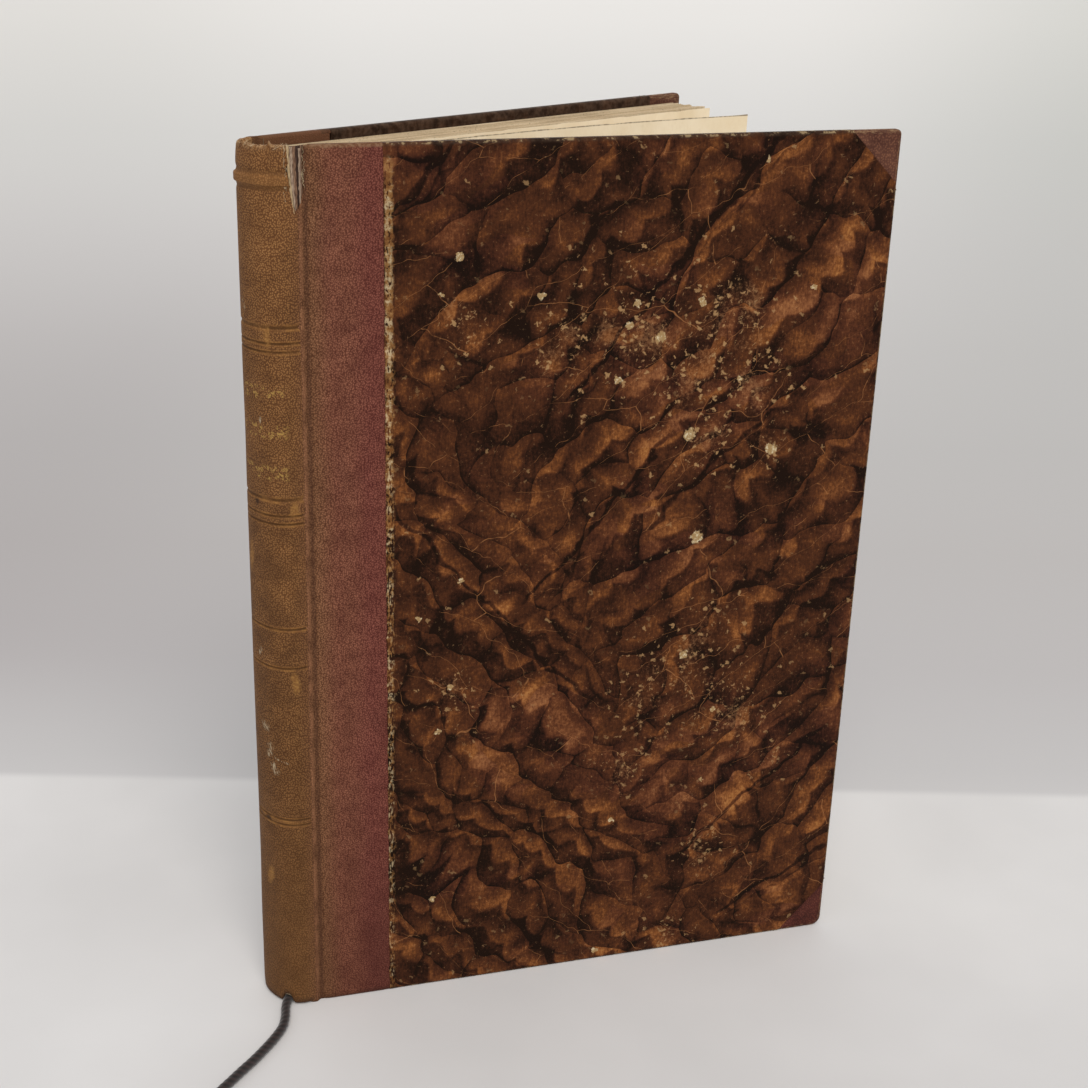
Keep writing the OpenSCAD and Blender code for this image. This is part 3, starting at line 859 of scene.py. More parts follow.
def papered_board(name, is_front, finish):
    over = edge_stops(TURN_IN - EDGE_R)
    q = np.concatenate([EDGE_R - over[::-1], np.linspace(EDGE_R, BOARD_H - EDGE_R, 150),
                        BOARD_H - EDGE_R + over])
    p = np.concatenate([np.linspace(CLOTH_EDGE, 21, 12), np.linspace(22, BOARD_W - EDGE_R, 60),
                        BOARD_W - EDGE_R + over])
    head_cut = BOARD_W + BOARD_H - CORNER_LEG - np.minimum(q, BOARD_H - 0.3)
    tail_cut = BOARD_W - CORNER_LEG - 0.4 + np.maximum(q, 0.3) * (CORNER_LEG / TAIL_LEG)
    stop = np.minimum(head_cut, tail_cut)
    stop = np.where(stop > BOARD_W - 0.3, p[-1], stop)
    torn = CLOTH_EDGE + wobble(q, 1.0 if is_front else 5.0, 1.3) * 0.16 + (205 - q) * 0.0035
    across = np.minimum(np.maximum(p[None, :], torn[:, None]), stop[:, None])
    up = np.broadcast_to(q[:, None], across.shape)
    near_cut = np.clip(1 - (stop[:, None] - across) / 2.6, 0, 1) * (stop[:, None] < p[-1])
    outer = paper_lift(across) - 0.10 * smooth(near_cut)
    out_x, deep_x, face_x, facing_x = over_edge(across - (BOARD_W - EDGE_R), outer, INNER_Y)
    head = up > BOARD_H / 2
    out_z, deep_z, face_z, facing_z = over_edge(
        np.where(head, up - (BOARD_H - EDGE_R), EDGE_R - up), outer, INNER_Y)
    sign = np.where(head, 1, -1)
    base_z = np.where(head, BOARD_H - EDGE_R, EDGE_R)
    folded = (up > BOARD_H - EDGE_R) | (up < EDGE_R)
    x = np.where(folded, across, BOARD_W - EDGE_R + out_x)
    z = np.where(folded, base_z + sign * out_z, up)
    deep = np.where(folded, deep_z, deep_x)
    facing = np.where(folded, facing_z, facing_x)
    lean_x = np.where(folded, 0, face_x)
    lean_z = np.where(folded, sign * face_z, 0)
    face = np.stack([x, deep, z], -1)
    back = np.stack([x - lean_x * PAPER_THICK, deep - facing * PAPER_THICK,
                     z - lean_z * PAPER_THICK], -1)
    sheet = np.stack([across, up, 0 * up], -1)
    place = turned if is_front else mirrored
    piece = sheet_piece(name, place(face), place(back), sheet, finish,
                        paper_marks(across, up, is_front))
    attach(piece, "front_cover" if is_front else "back_cover")
    return piece


for is_front, finish in ((True, front_marble), (False, back_marble)):
    side_name = "front" if is_front else "back"
    paper = papered_board(side_name + "_paper_sheet", is_front, finish)
    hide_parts(side_name + "_marbled_paper")

# %% [markdown]
# ## The cloth of the spine
# The spine is a stiff, nearly round shell. Its cloth follows a superellipse, which
# is a little fuller than a half circle. The tool lines are pressed in, a band is
# raised near the head, the cloth is wrapped over at both ends, and a small arch at
# the tail lets the bookmark cord out.

# %% Spine cloth
SPINE_THICK = 0.3
SPINE_CAP = 1.45
RULES = ((0.2445, 0.4), (0.2510, 0.4), (0.4400, 0.4), (0.4865, 0.4), (0.6080, 0.4),
         (0.6170, 0.4), (0.6350, 0.8), (0.7940, 0.4), (0.8030, 0.4), (0.8195, 0.8))
BAND_LOW, BAND_HIGH = 201.9, 203.8
EDGE_T = math.radians(81.7)


def spine_point(t, z, deep):
    """A point of the spine's curve at angle t from its middle, some depth inside it."""
    out = -(SPINE_OUT - deep) * np.cos(t) ** FULLNESS
    side = SPINE_MID + (SPINE_HALF - deep) * np.sign(t) * np.abs(np.sin(t)) ** FULLNESS
    return np.stack([out, side, z + 0 * t], -1)


fine_t = np.linspace(-EDGE_T, EDGE_T, 2001)
curve = spine_point(fine_t, 0, 0)
fine_arc = np.concatenate([[0], np.cumsum(np.linalg.norm(np.diff(curve, axis=0), axis=1))])
fine_arc -= fine_arc[1000]


def spine_arc(y):
    """Distance round the cloth from the middle of the spine, for a point with that y."""
    return float(np.interp(y, curve[:, 1], fine_arc))


def bump_at(value, middle, width):
    return np.exp(-((value - middle) / width) ** 2)


def spine_depth(arc, z):
    """How far the cloth lies inside the even curve: tool lines, band, crushed ends."""
    deep = 0.05 * wobble(z * 0.6 + arc * 0.9, 2, 7) + 0.05 * wobble(z * 0.3 - arc * 1.3, 4, 9)
    for share, tall in RULES:
        deep = deep + 0.20 * np.exp(-((z - share * BOARD_H) / (tall * 0.62)) ** 4)
    band = np.clip((z - BAND_LOW) / 0.5 + 0.5, 0, 1) * np.clip((BAND_HIGH - z) / 0.5 + 0.5, 0, 1)
    deep = deep - 0.5 * smooth(band)
    deep = deep + 0.16 * (bump_at(z, BAND_LOW - 0.9, 0.5) + bump_at(z, BAND_HIGH + 0.9, 0.5))
    deep = deep + 0.35 * np.clip((z - 205) / 5, 0, 1) ** 2 + 0.25 * np.clip((4 - z) / 4, 0, 1) ** 2
    return deep


def spine_heights():
    stops = [np.arange(EDGE_R, BOARD_H - EDGE_R, 1.5), np.arange(200.6, 205.4, 0.16),
             [BOARD_H - EDGE_R], np.arange(0.7, 5.0, 0.4), np.arange(205.4, 209.2, 0.35)]
    stops += [share * BOARD_H + np.arange(-0.8, 0.81, 0.11) for share, _ in RULES]
    heights = np.unique(np.round(np.concatenate(stops), 2))
    keep = np.concatenate([[True], np.diff(heights) > 0.06])
    return heights[keep]


def spine_cover_cloth(finish):
    stops = height_stops(SPINE_TURN_IN - EDGE_R, spine_heights())
    heights = stop_heights(stops)
    torn = np.clip((heights - SPLIT_FROM) / 7.5, 0, 1) ** 0.45
    jagged = 2.0 * wobble(heights, 6, 0.8) + 1.1 * wobble(heights, 8, 0.3)
    start = -EDGE_T + np.radians(torn * (14.5 + jagged))
    across = np.linspace(0, 1, 84)
    t = start[:, None] + across[None, :] * (EDGE_T - start[:, None])
    arc = np.interp(t, fine_t, fine_arc)
    degrees = np.degrees(t)
    low = 0.3 + 2.5 * np.exp(-((degrees + 29) / 10.0) ** 4)
    frayed = 0.10 * wobble(degrees, 3, 2.1) + 0.10 * wobble(degrees, 5, 0.7)
    high = (BOARD_H + 0.9 * bump_at(degrees, 12, 5) + frayed + 0.25 * bump_at(degrees, -50, 20)
            + 0.8 * bump_at(degrees, -38, 2.5))
    rows = [cloth_row(stop, 0 * low[i], 0 * low[i] + SPINE_CAP, low[i], high[i])
            for i, stop in enumerate(stops)]
    z, deep, face_z, face_deep, q = (np.array(parts) for parts in zip(*rows))
    worn = spine_depth(arc, z)
    face = spine_point(t, z, deep + worn)
    back = spine_point(t, z - face_z * SPINE_THICK, deep + worn - face_deep * SPINE_THICK)
    return sheet_piece("spine_cloth_sheet", face, back, np.stack([arc, q, 0 * q], -1), finish)


def faded_cloth(sheet, grain):
    """The dyed valleys and the rubbed tops of the grain, faded toward the head."""
    a, z = sheet.part(0), sheet.part(1)
    blotch, middle = sheet.noise(30, 3), sheet.noise(6, 3)
    fade = (z + (blotch - 0.5) * 80).step(30, 190)
    mottled = middle * 0.6 + blotch * 0.4
    ground = mottled.ramp((0.3, "3b210c"), (0.7, "4c2c11"))
    ground = ground.mix(mottled.ramp((0.3, "482a14"), (0.7, "5f381b")), fade * 0.8)
    tops = mottled.ramp((0.3, "7e562f"), (0.7, "966b40"))
    tops = tops.mix(mottled.ramp((0.3, "926539"), (0.7, "ab7c4b")), fade * 0.8)
    raised = grain * sheet.noise(2.5, 3).step(0.3, 0.6, 0.6, 0.95) * z.step(10, 95, 0.6, 1.0)
    colour = ground.mix(tops, raised + z.step(80, 10, 0.0, 0.12))
    colour = colour.dab("4e321c", abs(z - 112).step(48, 15) * middle.step(0.7, 0.3) * 0.35)

    # the cloth turns brown toward the joint, and the side toward the room is painted paler: painted
    # light where the lamp falls on it
    side = a.step(-9.0, -13.0)
    colour = colour.mix(grain.ramp((0.2, "5c3a24"), (0.8, "855a3a")), side * 0.7)
    # painted light: the side of the spine toward the back cover is coloured paler
    return colour.dab("a87b49", a.step(1.5, 9.5) * middle.step(0.3, 0.7, 0.08, 0.32))


def with_tool_lines(colour, sheet):
    """Tool lines, once gilt: each pressed line painted dark as the shade in its groove, with ochre
    left along it. Then the band, with painted shade in the grooves beside it.
    """
    a, z = sheet.part(0), sheet.part(1)
    gap = joined(1.0 - abs(z - share * BOARD_H) * (1 / (tall * 0.5 + 0.62))
                 for share, tall in RULES)
    ochre = sheet.noise(1.6, 3).ramp((0.35, "79502a"), (0.6, "966936"))
    colour = colour.mix(ochre, gap.step(0.0, 0.4) * sheet.noise(4.2, 2).step(0.35, 0.62, 0.15, 0.6))
    # painted shade in the pressed groove of each tool line
    colour = colour.dab("44290f", gap.step(0.55, 0.85)
                        * sheet.noise(3.0, 2).step(0.3, 0.55, 0.4, 0.8))
    band = z.step(BAND_LOW - 1.5, BAND_LOW - 0.2) * z.step(BAND_HIGH + 1.5, BAND_HIGH + 0.2)
    colour = colour.dab("8a5f33", band * 0.35)
    # painted shade in the grooves beside the raised band
    colour = colour.dab("5a3a1e", (abs(z - BAND_LOW + 0.7).step(0.5, 0.1)
                                   + abs(z - BAND_HIGH - 0.7).step(0.5, 0.1)) * 0.45)
    panel = joined(abs(z - row).step(1.9, 1.3) for row in (157.5, 149.0, 139.5))
    panel = panel * abs(a + 1).step(8.5, 6.5)
    flecks = sheet.warped(0.8, 0.7, 2, True).cells(0.9, out="Color", flat=True)
    gilt = flecks.part(0).step(0.62, 0.72)
    return colour.dab("ab8848", panel * gilt * sheet.noise(0.5, 2).step(0.42, 0.58) * 0.7)


def with_marks_of_use(colour, sheet):
    """Rubs, scuffs and dark spots, each where the photograph shows it, and worn ends."""
    a, z = sheet.part(0), sheet.part(1)
    torn = sheet.warped(1.6, 1.6, 2)
    worn = joined(patch(torn, (spine_arc(y), z0), w, h, lean) for y, z0, w, h, lean in (
        (0.9, 131.2, 1.4, 2.6, 12), (1.2, 88.8, 1.3, 4.0, -8), (8.4, 36, 1.6, 3.4, 20),
        (12, 118, 1.5, 5, 8), (4.4, 170, 1.2, 3.4, 0)))
    colour = colour.mix(sheet.noise(0.6, 2).ramp((0.4, "84592d"), (0.65, "a97c42")), worn * 0.6)
    scuffs = joined(patch(torn, (spine_arc(y), z0), w, h, lean) for y, z0, w, h, lean in (
        (9.4, 95.5, 0.7, 1.6, 25), (8.6, 76.5, 2.0, 1.6, 35), (7.3, 70.5, 1.5, 2.6, 12),
        (5.9, 66.0, 1.4, 2.2, -20), (4.2, 68.3, 2.6, 0.35, 20), (6.9, 151.0, 0.5, 1.4, 10),
        (11.5, 176, 0.5, 1.8, -15)))
    hatched = sheet.turn(25, (1, 0.3, 1)).noise(0.45, 2).step(0.44, 0.62)
    colour = colour.dab("b3a285", scuffs * hatched * 0.7)
    dark = joined(patch(torn, (spine_arc(y), z0), w, h) for y, z0, w, h in (
        (8.8, 132.1, 1.1, 1.3), (8.4, 51.9, 1.3, 1.0)))
    colour = colour.dab("2a1a10", dark * 0.8)
    rubbed_ends = z.step(208.4, 210.6) * sheet.noise(0.8, 3).step(0.38, 0.62)
    colour = colour.dab("b39068", rubbed_ends * 0.7)
    # darker at the tail edge: dirt, and painted contact shadow where the spine meets the table
    colour = colour.dab("2e1a12", z.step(2.4, 0.4) * 0.55)
    lip = z.step(197.5, 199.0) * (a + z.step(197, 203, 1.5, 0.0)).step(-10.7, -11.3)
    frayed = sheet.times((2, 0.4, 1)).noise(0.5, 2)
    return colour.mix(frayed.ramp((0.35, "6e4f38"), (0.65, "ab9273")), lip * 0.8)


def spine_finish():
    finish, shader, sheet = start_finish("tan_spine_cloth", "sheet")
    grain = pebble_grain(sheet, 0.43)
    colour = with_tool_lines(faded_cloth(sheet, grain), sheet)
    end_finish(shader, with_marks_of_use(colour, sheet), 0.66, grain, 0.07, gloss=0.15)
    return finish


spine_piece = spine_cover_cloth(spine_finish())
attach(spine_piece, "book_block")
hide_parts("spine_cover")

# %% [markdown]
# ## The split at the head of the joint
# The cloth has cracked along the joint for the top thirteen millimetres. Inside, thin strips of old
# lining show, each torn along its edges, over a dark sheet painted as the shade of the hollow.

# %% Torn strips in the split
SPLIT_U = np.array((-4.6, -4.0, -3.0, -2.3, -1.5, -1.0, -0.5, 0.0, 0.4, 1.4))
SPLIT_DEEP = np.array((1.30, 1.00, 0.60, 0.41, 0.28, 0.14, 0.22, 0.42, 0.50, 0.30))
STRIP_THICK = 0.12


def torn_finish(name, dark, light):
    """Old torn cloth: fibres running down the strip."""
    finish, shader, place = start_finish(name, "sheet")
    fibre = place.times((1.0, 0.16, 1.0)).noise(0.22, 3, 0.6)
    colour = fibre.ramp((0.35, dark), (0.62, light))
    end_finish(shader, colour, 0.9, fibre, 0.08)
    return finish


def torn_strip(name, low_u, high_u, low_z, high_z, sunk, seed, finish, frayed, drift=0.0):
    """A strip down the joint, narrowing to its lower end. Drift leads it toward the joint."""
    z = np.linspace(low_z, high_z, 64)
    narrow = np.clip((z - low_z) / 4.0, 0.05, 1) ** 0.5
    middle = (low_u + high_u) / 2
    left = middle + (low_u - middle) * narrow + frayed * wobble(z, seed, 0.5)
    right = middle + (high_u - middle) * narrow + frayed * wobble(z, seed + 4, 0.6)
    share = np.linspace(0, 1, 7)
    u = left[:, None] + (right - left)[:, None] * share + drift * ((210.2 - z[:, None]) / 7) ** 2
    height = z[:, None] + 0 * u
    curl = 0.10 * np.sin(share * math.pi)[None, :] * (1 + 0.5 * wobble(height, seed, 3))
    deep = np.interp(u, SPLIT_U, SPLIT_DEEP) + sunk - curl
    face = np.stack([u, deep, height], -1)
    back = face + np.array((0.0, STRIP_THICK, 0.0))
    strip = sheet_piece(name, face, back, np.stack([u, height, 0 * u], -1), finish)
    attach(strip, "book_block")


# painted shade: a dark sheet where the hollow of the split lies in shade
hollow = torn_finish("painted_shade_in_split", "24160f", "49342a")
lilac = torn_finish("faded_lining_cloth", "68503f", "ac957f")
brown = torn_finish("torn_cloth_edge", "4a3023", "8a6a52")
pale = torn_finish("pale_torn_fold", "8f7352", "bda57f")
torn_strip("split_hollow_shade", -4.7, 0.9, 194.6, 209.9, 0.55, 1, hollow, 0.05)
torn_strip("split_strip_pale", -3.5, -3.1, 196.2, 210.0, 0.04, 2, pale, 0.06, 0.26)
torn_strip("split_strip_lilac", -2.9, -2.25, 196.6, 209.8, 0.26, 4, lilac, 0.10, 0.2)
torn_strip("split_strip_brown", -2.2, -1.5, 196.6, 209.9, 0.32, 5, brown, 0.10, 0.12)
torn_strip("split_strip_dark", -0.95, -0.3, 197.0, 209.4, 0.16, 9, lilac, 0.12)
torn_strip("split_strip_edge", -0.3, 0.25, 197.0, 209.9, 0.22, 3, brown, 0.10)

# %% [markdown]
# ## Frayed threads
# Where cloth has worn through, single threads stand out of the edge. Geometry Nodes scatters copies
# of one short thread of a few faces in a band, each turned by seeded random numbers, and then bends
# them all with noise.

# %% Threads by Geometry Nodes
def new_tree(name, **inputs):
    """A node tree for a modifier, with its named inputs and their starting values."""
    tree = bpy.data.node_groups.new(name, "GeometryNodeTree")
    tree.interface.new_socket("Geometry", in_out="INPUT", socket_type="NodeSocketGeometry")
    for label, value in inputs.items():
        kind = "NodeSocketInt" if isinstance(value, int) else "NodeSocketFloat"
        socket = tree.interface.new_socket(label.title(), in_out="INPUT", socket_type=kind)
        socket.default_value = value
    tree.interface.new_socket("Geometry", in_out="OUTPUT", socket_type="NodeSocketGeometry")
    start = tree.nodes.new("NodeGroupInput")
    return tree, {label: Stain(start.outputs[label.title()]) for label in inputs}


def end_tree(tree, instances, finish):
    """Real geometry from the instances, with its material, to the output."""
    real = instances.node("GeometryNodeRealizeInstances", {}, {0: instances})
    dressed = real.node("GeometryNodeSetMaterial", {}, {"Geometry": real, "Material": finish})
    finish_node = tree.nodes.new("NodeGroupOutput")
    tree.links.new(dressed.socket, finish_node.inputs[0])


def grown(name, tree, values, finish):
    """Runs the tree once with the given input values and keeps the result as a plain mesh."""
    seed_mesh = bpy.data.meshes.new(name)
    piece = bpy.data.objects.new(name, seed_mesh)
    bpy.context.scene.collection.objects.link(piece)
    modifier = piece.modifiers.new(name, "NODES")
    modifier.node_group = tree
    for item in tree.interface.items_tree:
        if item.in_out == "INPUT" and item.name.lower() in values:
            modifier[item.identifier] = values[item.name.lower()]
    bpy.context.view_layer.update()
    evaluated = piece.evaluated_get(bpy.context.evaluated_depsgraph_get())
    mesh = bpy.data.meshes.new_from_object(evaluated)
    piece.modifiers.remove(modifier)
    piece.data = mesh
    bpy.data.meshes.remove(seed_mesh)
    clean_mesh(mesh, 40)
    if not mesh.materials:
        mesh.materials.append(finish)
    print(f"{name}: {len(mesh.polygons)} faces grown")
    return piece


def thread_tree(name, values, spread, turn_low, turn_high, finish):
    """Threads over a box of places in millimetres, turned between two rotations."""
    tree, given = new_tree(name, **values)
    threads, long, thick, seed = (given[k] for k in ("threads", "length", "thick", "seed"))

    def chance(kind, low, high, salt):
        ends = {0: low, 1: high} if kind == "FLOAT_VECTOR" else {2: low, 3: high}
        return threads.node("FunctionNodeRandomValue", {"data_type": kind},
                            {**ends, "Seed": seed + salt}, 0 if kind == "FLOAT_VECTOR" else 1)

    low, high = (tuple(to_row(corner)) for corner in spread)
    points = threads.node("GeometryNodePoints", {}, {
        "Count": threads, "Position": chance("FLOAT_VECTOR", low, high, 1)})
    card = threads.node("GeometryNodeMeshCylinder", {}, {"Vertices": 3, "Side Segments": 4,
                                                         "Radius": thick * MM, "Depth": long * MM})
    laid = points.node("GeometryNodeInstanceOnPoints", {}, {
        "Points": points, "Instance": card,
        "Rotation": chance("FLOAT_VECTOR", turn_low, turn_high, 2)})
    real = laid.node("GeometryNodeRealizeInstances", {}, {0: laid})
    place = real.node("GeometryNodeInputPosition")
    bend = place.node("ShaderNodeTexNoise", {},
                      {"Vector": place, "Scale": 1400.0, "Detail": 0.0}, 1)
    bent = real.node("GeometryNodeSetPosition", {}, {
        "Geometry": real, "Offset": bend.less((0.5, 0.5, 0.5)).times((0.0009, 0.0009, 0.0006))})
    end_tree(tree, bent, finish)
    return tree


thread = torn_finish("frayed_thread", "8a6a4c", "cdb996")
THREAD_THICK = 0.035
FRAYS = (
    ("threads_left_lip", 26, ((-4.3, 0.85, 199.5), (-3.6, 1.15, 209.8)), 1.9,
     (-0.5, -0.3, 0), (0.5, 0.5, 6)),
    ("threads_right_lip", 20, ((-0.1, 0.25, 199.8), (0.5, 0.5, 209.9)), 1.5,
     (-0.4, -0.5, 0), (0.4, 0.4, 6)),
    ("threads_head_front", 14, ((-5.5, 1.6, 209.5), (-2.2, 2.3, 210.1)), 1.4,
     (-1.0, -1.2, 0), (1.0, 1.2, 6)),
    ("threads_head_middle", 12, ((-8.0, 6.0, 209.7), (-7.6, 12.5, 210.3)), 1.1,
     (-1.2, -1.2, 0), (1.2, 1.2, 6)))
for name, count, spread, length, turn_low, turn_high in FRAYS:
    values = {"threads": count, "length": length, "thick": THREAD_THICK, "seed": 5}
    tree = thread_tree(name, values, spread, turn_low, turn_high, thread)
    fray = grown(name, tree, values, thread)
    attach(fray, "book_block")

# %% [markdown]
# ## Cloth corners
# Each corner is covered with a triangle of cloth. The flat sheet is described by two
# directions: along the outline of the corner, which is rounded by wear, and from the
# slanting inner edge out to the outline, over it, and back on the inside.

# %% Corners
HEAD_ROUND, TAIL_ROUND = 1.2, 2.6
TUCK, UNDER_PAPER, CORNER_THICK = 1.2, 0.05, 0.2
FACE_RUN, INSIDE_RUN = 8, 13


def corner_piece(name, is_front, is_head, finish):
    radius = HEAD_ROUND if is_head else TAIL_ROUND
    leg_x, leg_z = CORNER_LEG + TUCK, (CORNER_LEG if is_head else TAIL_LEG) + TUCK
    arc = np.linspace(0, math.pi / 2, 9)
    along_x = np.linspace(leg_x, radius, 16)[:-1]
    along_z = np.linspace(radius, leg_z, 16)[1:]
    # distances from the corner: in from the fore edge, and up from the head or tail
    from_fore = np.concatenate([along_x, radius * (1 - np.sin(arc)), 0 * along_z])
    from_end = np.concatenate([0 * along_x, radius * (1 - np.cos(arc)), along_z])
    normal = np.concatenate([np.tile((0.0, 1.0), (len(along_x), 1)),
                             np.stack([np.sin(arc), np.cos(arc)], -1),
                             np.tile((1.0, 0.0), (len(along_z), 1))])
    way = np.linspace(0, 1, len(from_fore))
    slant = np.stack([leg_x * (1 - way), leg_z * way], -1)
    rim = np.stack([from_fore, from_end], -1) + normal * (EDGE_R + UNDER_PAPER)
    over = edge_stops(0)
    columns = []
    for share in np.linspace(0, 1, 15):
        spot = slant * (1 - share) + rim * share
        gap = np.linalg.norm(spot - slant, axis=1)
        deep = 0.08 + 0.12 * np.clip(1 - gap / 1.6, 0, 1) ** 2
        columns.append((spot, deep, 0 * normal, -1 + 0 * deep, share * FACE_RUN + 0 * deep))
    outer = columns[-1][1]
    for s in over:
        out, deep, face_out, face_deep = over_edge(s, outer, INNER_Y - UNDER_PAPER)
        columns.append((rim - normal * out[:, None], deep, normal * face_out[:, None],
                        face_deep, FACE_RUN + s + 0 * deep))
    inner_slant = np.stack([(TURN_IN + 2) * (1 - way), (TURN_IN + 2) * way], -1)
    for share in np.linspace(0, 1, 6)[1:]:
        columns.append((rim * (1 - share) + inner_slant * share,
                        INNER_Y - UNDER_PAPER + 0 * outer, 0 * normal, 1 + 0 * outer,
                        INSIDE_RUN + share * 6 + 0 * outer))
    spots, deep, lean, facing, run = (np.stack(parts, 1) for parts in zip(*columns))

    def placed(spots, deep):
        x = BOARD_W - spots[..., 0]
        z = BOARD_H - spots[..., 1] if is_head else spots[..., 1]
        return np.stack([x, deep, z], -1)

    face = placed(spots, deep)
    back = placed(spots + lean * CORNER_THICK, deep - facing * CORNER_THICK)
    flat = spots - lean * run[..., None] * 0.5
    sheet = np.stack([flat[..., 0], flat[..., 1], run], -1)
    place = turned if is_front else mirrored
    piece = sheet_piece(name, place(face), place(back), sheet, finish)
    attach(piece, "front_cover" if is_front else "back_cover")
    return piece


def corner_finish(name, ground, tops):
    finish, shader, place = start_finish(name, "sheet")
    grain = pebble_grain(place, 0.55)
    run = place.part(2)
    blotch = place.noise(5, 3)
    colour = blotch.ramp((0.3, ground[0]), (0.7, ground[1]))
    colour = colour.mix(blotch.ramp((0.3, tops[0]), (0.7, tops[1])),
                        grain * place.noise(1.7, 3).step(0.3, 0.6, 0.35, 0.9))
    rim = run.step(7.0, 8.4) * run.step(14.0, 12.2)
    rubbed = rim * place.noise(1.3, 4, 0.65).step(0.46, 0.60)
    colour = colour.mix(place.noise(0.5, 2).ramp((0.4, "7d573c"), (0.7, "b49a74")), rubbed * 0.7)
    end_finish(shader, colour, 0.66, grain, 0.06, gloss=0.15)
    return finish


head_corner_cloth = corner_finish("wine_brown_corner_cloth",
                                  ("41231a", "59362a"), ("6c4433", "84593f"))
tail_corner_cloth = corner_finish("wine_red_corner_cloth",
                                  ("331510", "482019"), ("57291f", "6b3a2c"))
ends = (True, "head", head_corner_cloth), (False, "tail", tail_corner_cloth)
for is_front, side_name in ((True, "front"), (False, "back")):
    for is_head, end_name, cloth in ends:
        corner = corner_piece(f"{side_name}_{end_name}_corner_cloth", is_front, is_head, cloth)
        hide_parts(f"{side_name}_{end_name}_corner")

# %% [markdown]
# ## Paper finishes
# Old book paper is cream, browner toward its edges, and lightly spotted. The top
# edge of the leaves is dusty and was sprinkled, so it looks greyer than their sides.

# %% Papers
def paper_finish(name, light, dark, spots=0.3, dust_from=300.0):
    finish, shader, place = start_finish(name)
    cloudy = place.noise(30, 3) * 0.6 + place.noise(6, 3) * 0.4
    colour = cloudy.ramp((0.32, dark), (0.66, light))
    fibre = place.times((1.0, 1.0, 0.4)).noise(0.7, 3, 0.6)
    colour = colour.dab(dark, fibre.step(0.45, 0.75) * 0.25)
    foxing = place.warped(2, 1.5, 2).cells(7).step(0.16, 0.05) * place.noise(9, 1).step(0.5, 0.6)
    colour = colour.dab("a37a4d", foxing * spots)
    dust = place.part(2).step(dust_from, dust_from + 0.12) * fibre.step(0.3, 0.6, 0.4, 0.8)
    colour = colour.dab("6f5f49", dust)
    end_finish(shader, colour, 0.85, fibre, 0.02)
    return finish


def leaf_finish():
    """The edges of the closed leaves: each a little different, dusty and sprinkled at the head."""
    finish, shader, place = start_finish("old_book_leaves")
    thin = place.times((0.02, 5.2, 0.02)).noise(1.0, 2, 0.7)
    cloudy = place.noise(14, 3)
    colour = (thin * 0.6 + cloudy * 0.4).ramp((0.3, "937b5b"), (0.5, "bfa983"), (0.7, "dbc9a6"))
    head = place.part(2).step(206.9, 207.3)
    dusty = (thin * 0.55 + cloudy * 0.25 + place.noise(0.5, 3, 0.7) * 0.25).ramp(
        (0.32, "8f7a60"), (0.5, "c6b08f"), (0.7, "ecdabb"))
    colour = colour.mix(dusty, head * 0.9)
    sprinkle = place.warped(0.4, 0.4).cells(0.9).step(0.30, 0.14)
    sprinkle = sprinkle * place.noise(5, 2).step(0.45, 0.6)
    colour = colour.dab("665644", sprinkle * head * 0.55)
    end_finish(shader, colour, 0.88, thin, 0.03)
    return finish


leaf_paper = leaf_finish()
cream_paper = paper_finish("cream_endpaper", "fdeed2", "ead6b2", 0.35)
dusty_paper = paper_finish("cream_endpaper_dusty_head", "fdeed2", "ead6b2", 0.35, 207.02)
pasted_paper = paper_finish("pasted_endpaper", "dccbab", "bda883", 0.5)

# %% [markdown]
# ## The leaves, from one card
# Geometry Nodes lays out the leaves. One thin card is repeated once for each leaf
# of the block. The spine end follows the round back, the other end follows the
# hollow fore edge, and seeded random numbers push leaves and sections a little out
# of line, as they are in any old book. The tree ends as plain mesh.

# %% Leaves by Geometry Nodes
BLOCK_HALF, BLOCK_MID, BLOCK_ROUND, BLOCK_W = 5.35, 9.05, 6.0, 132.7
BLOCK_LOW, BLOCK_HIGH, FORE_HOLLOW = 2.5, 207.9, 1.2
LEAVES = {"leaves": 96, "section": 8, "push": 0.22, "seed": 3}


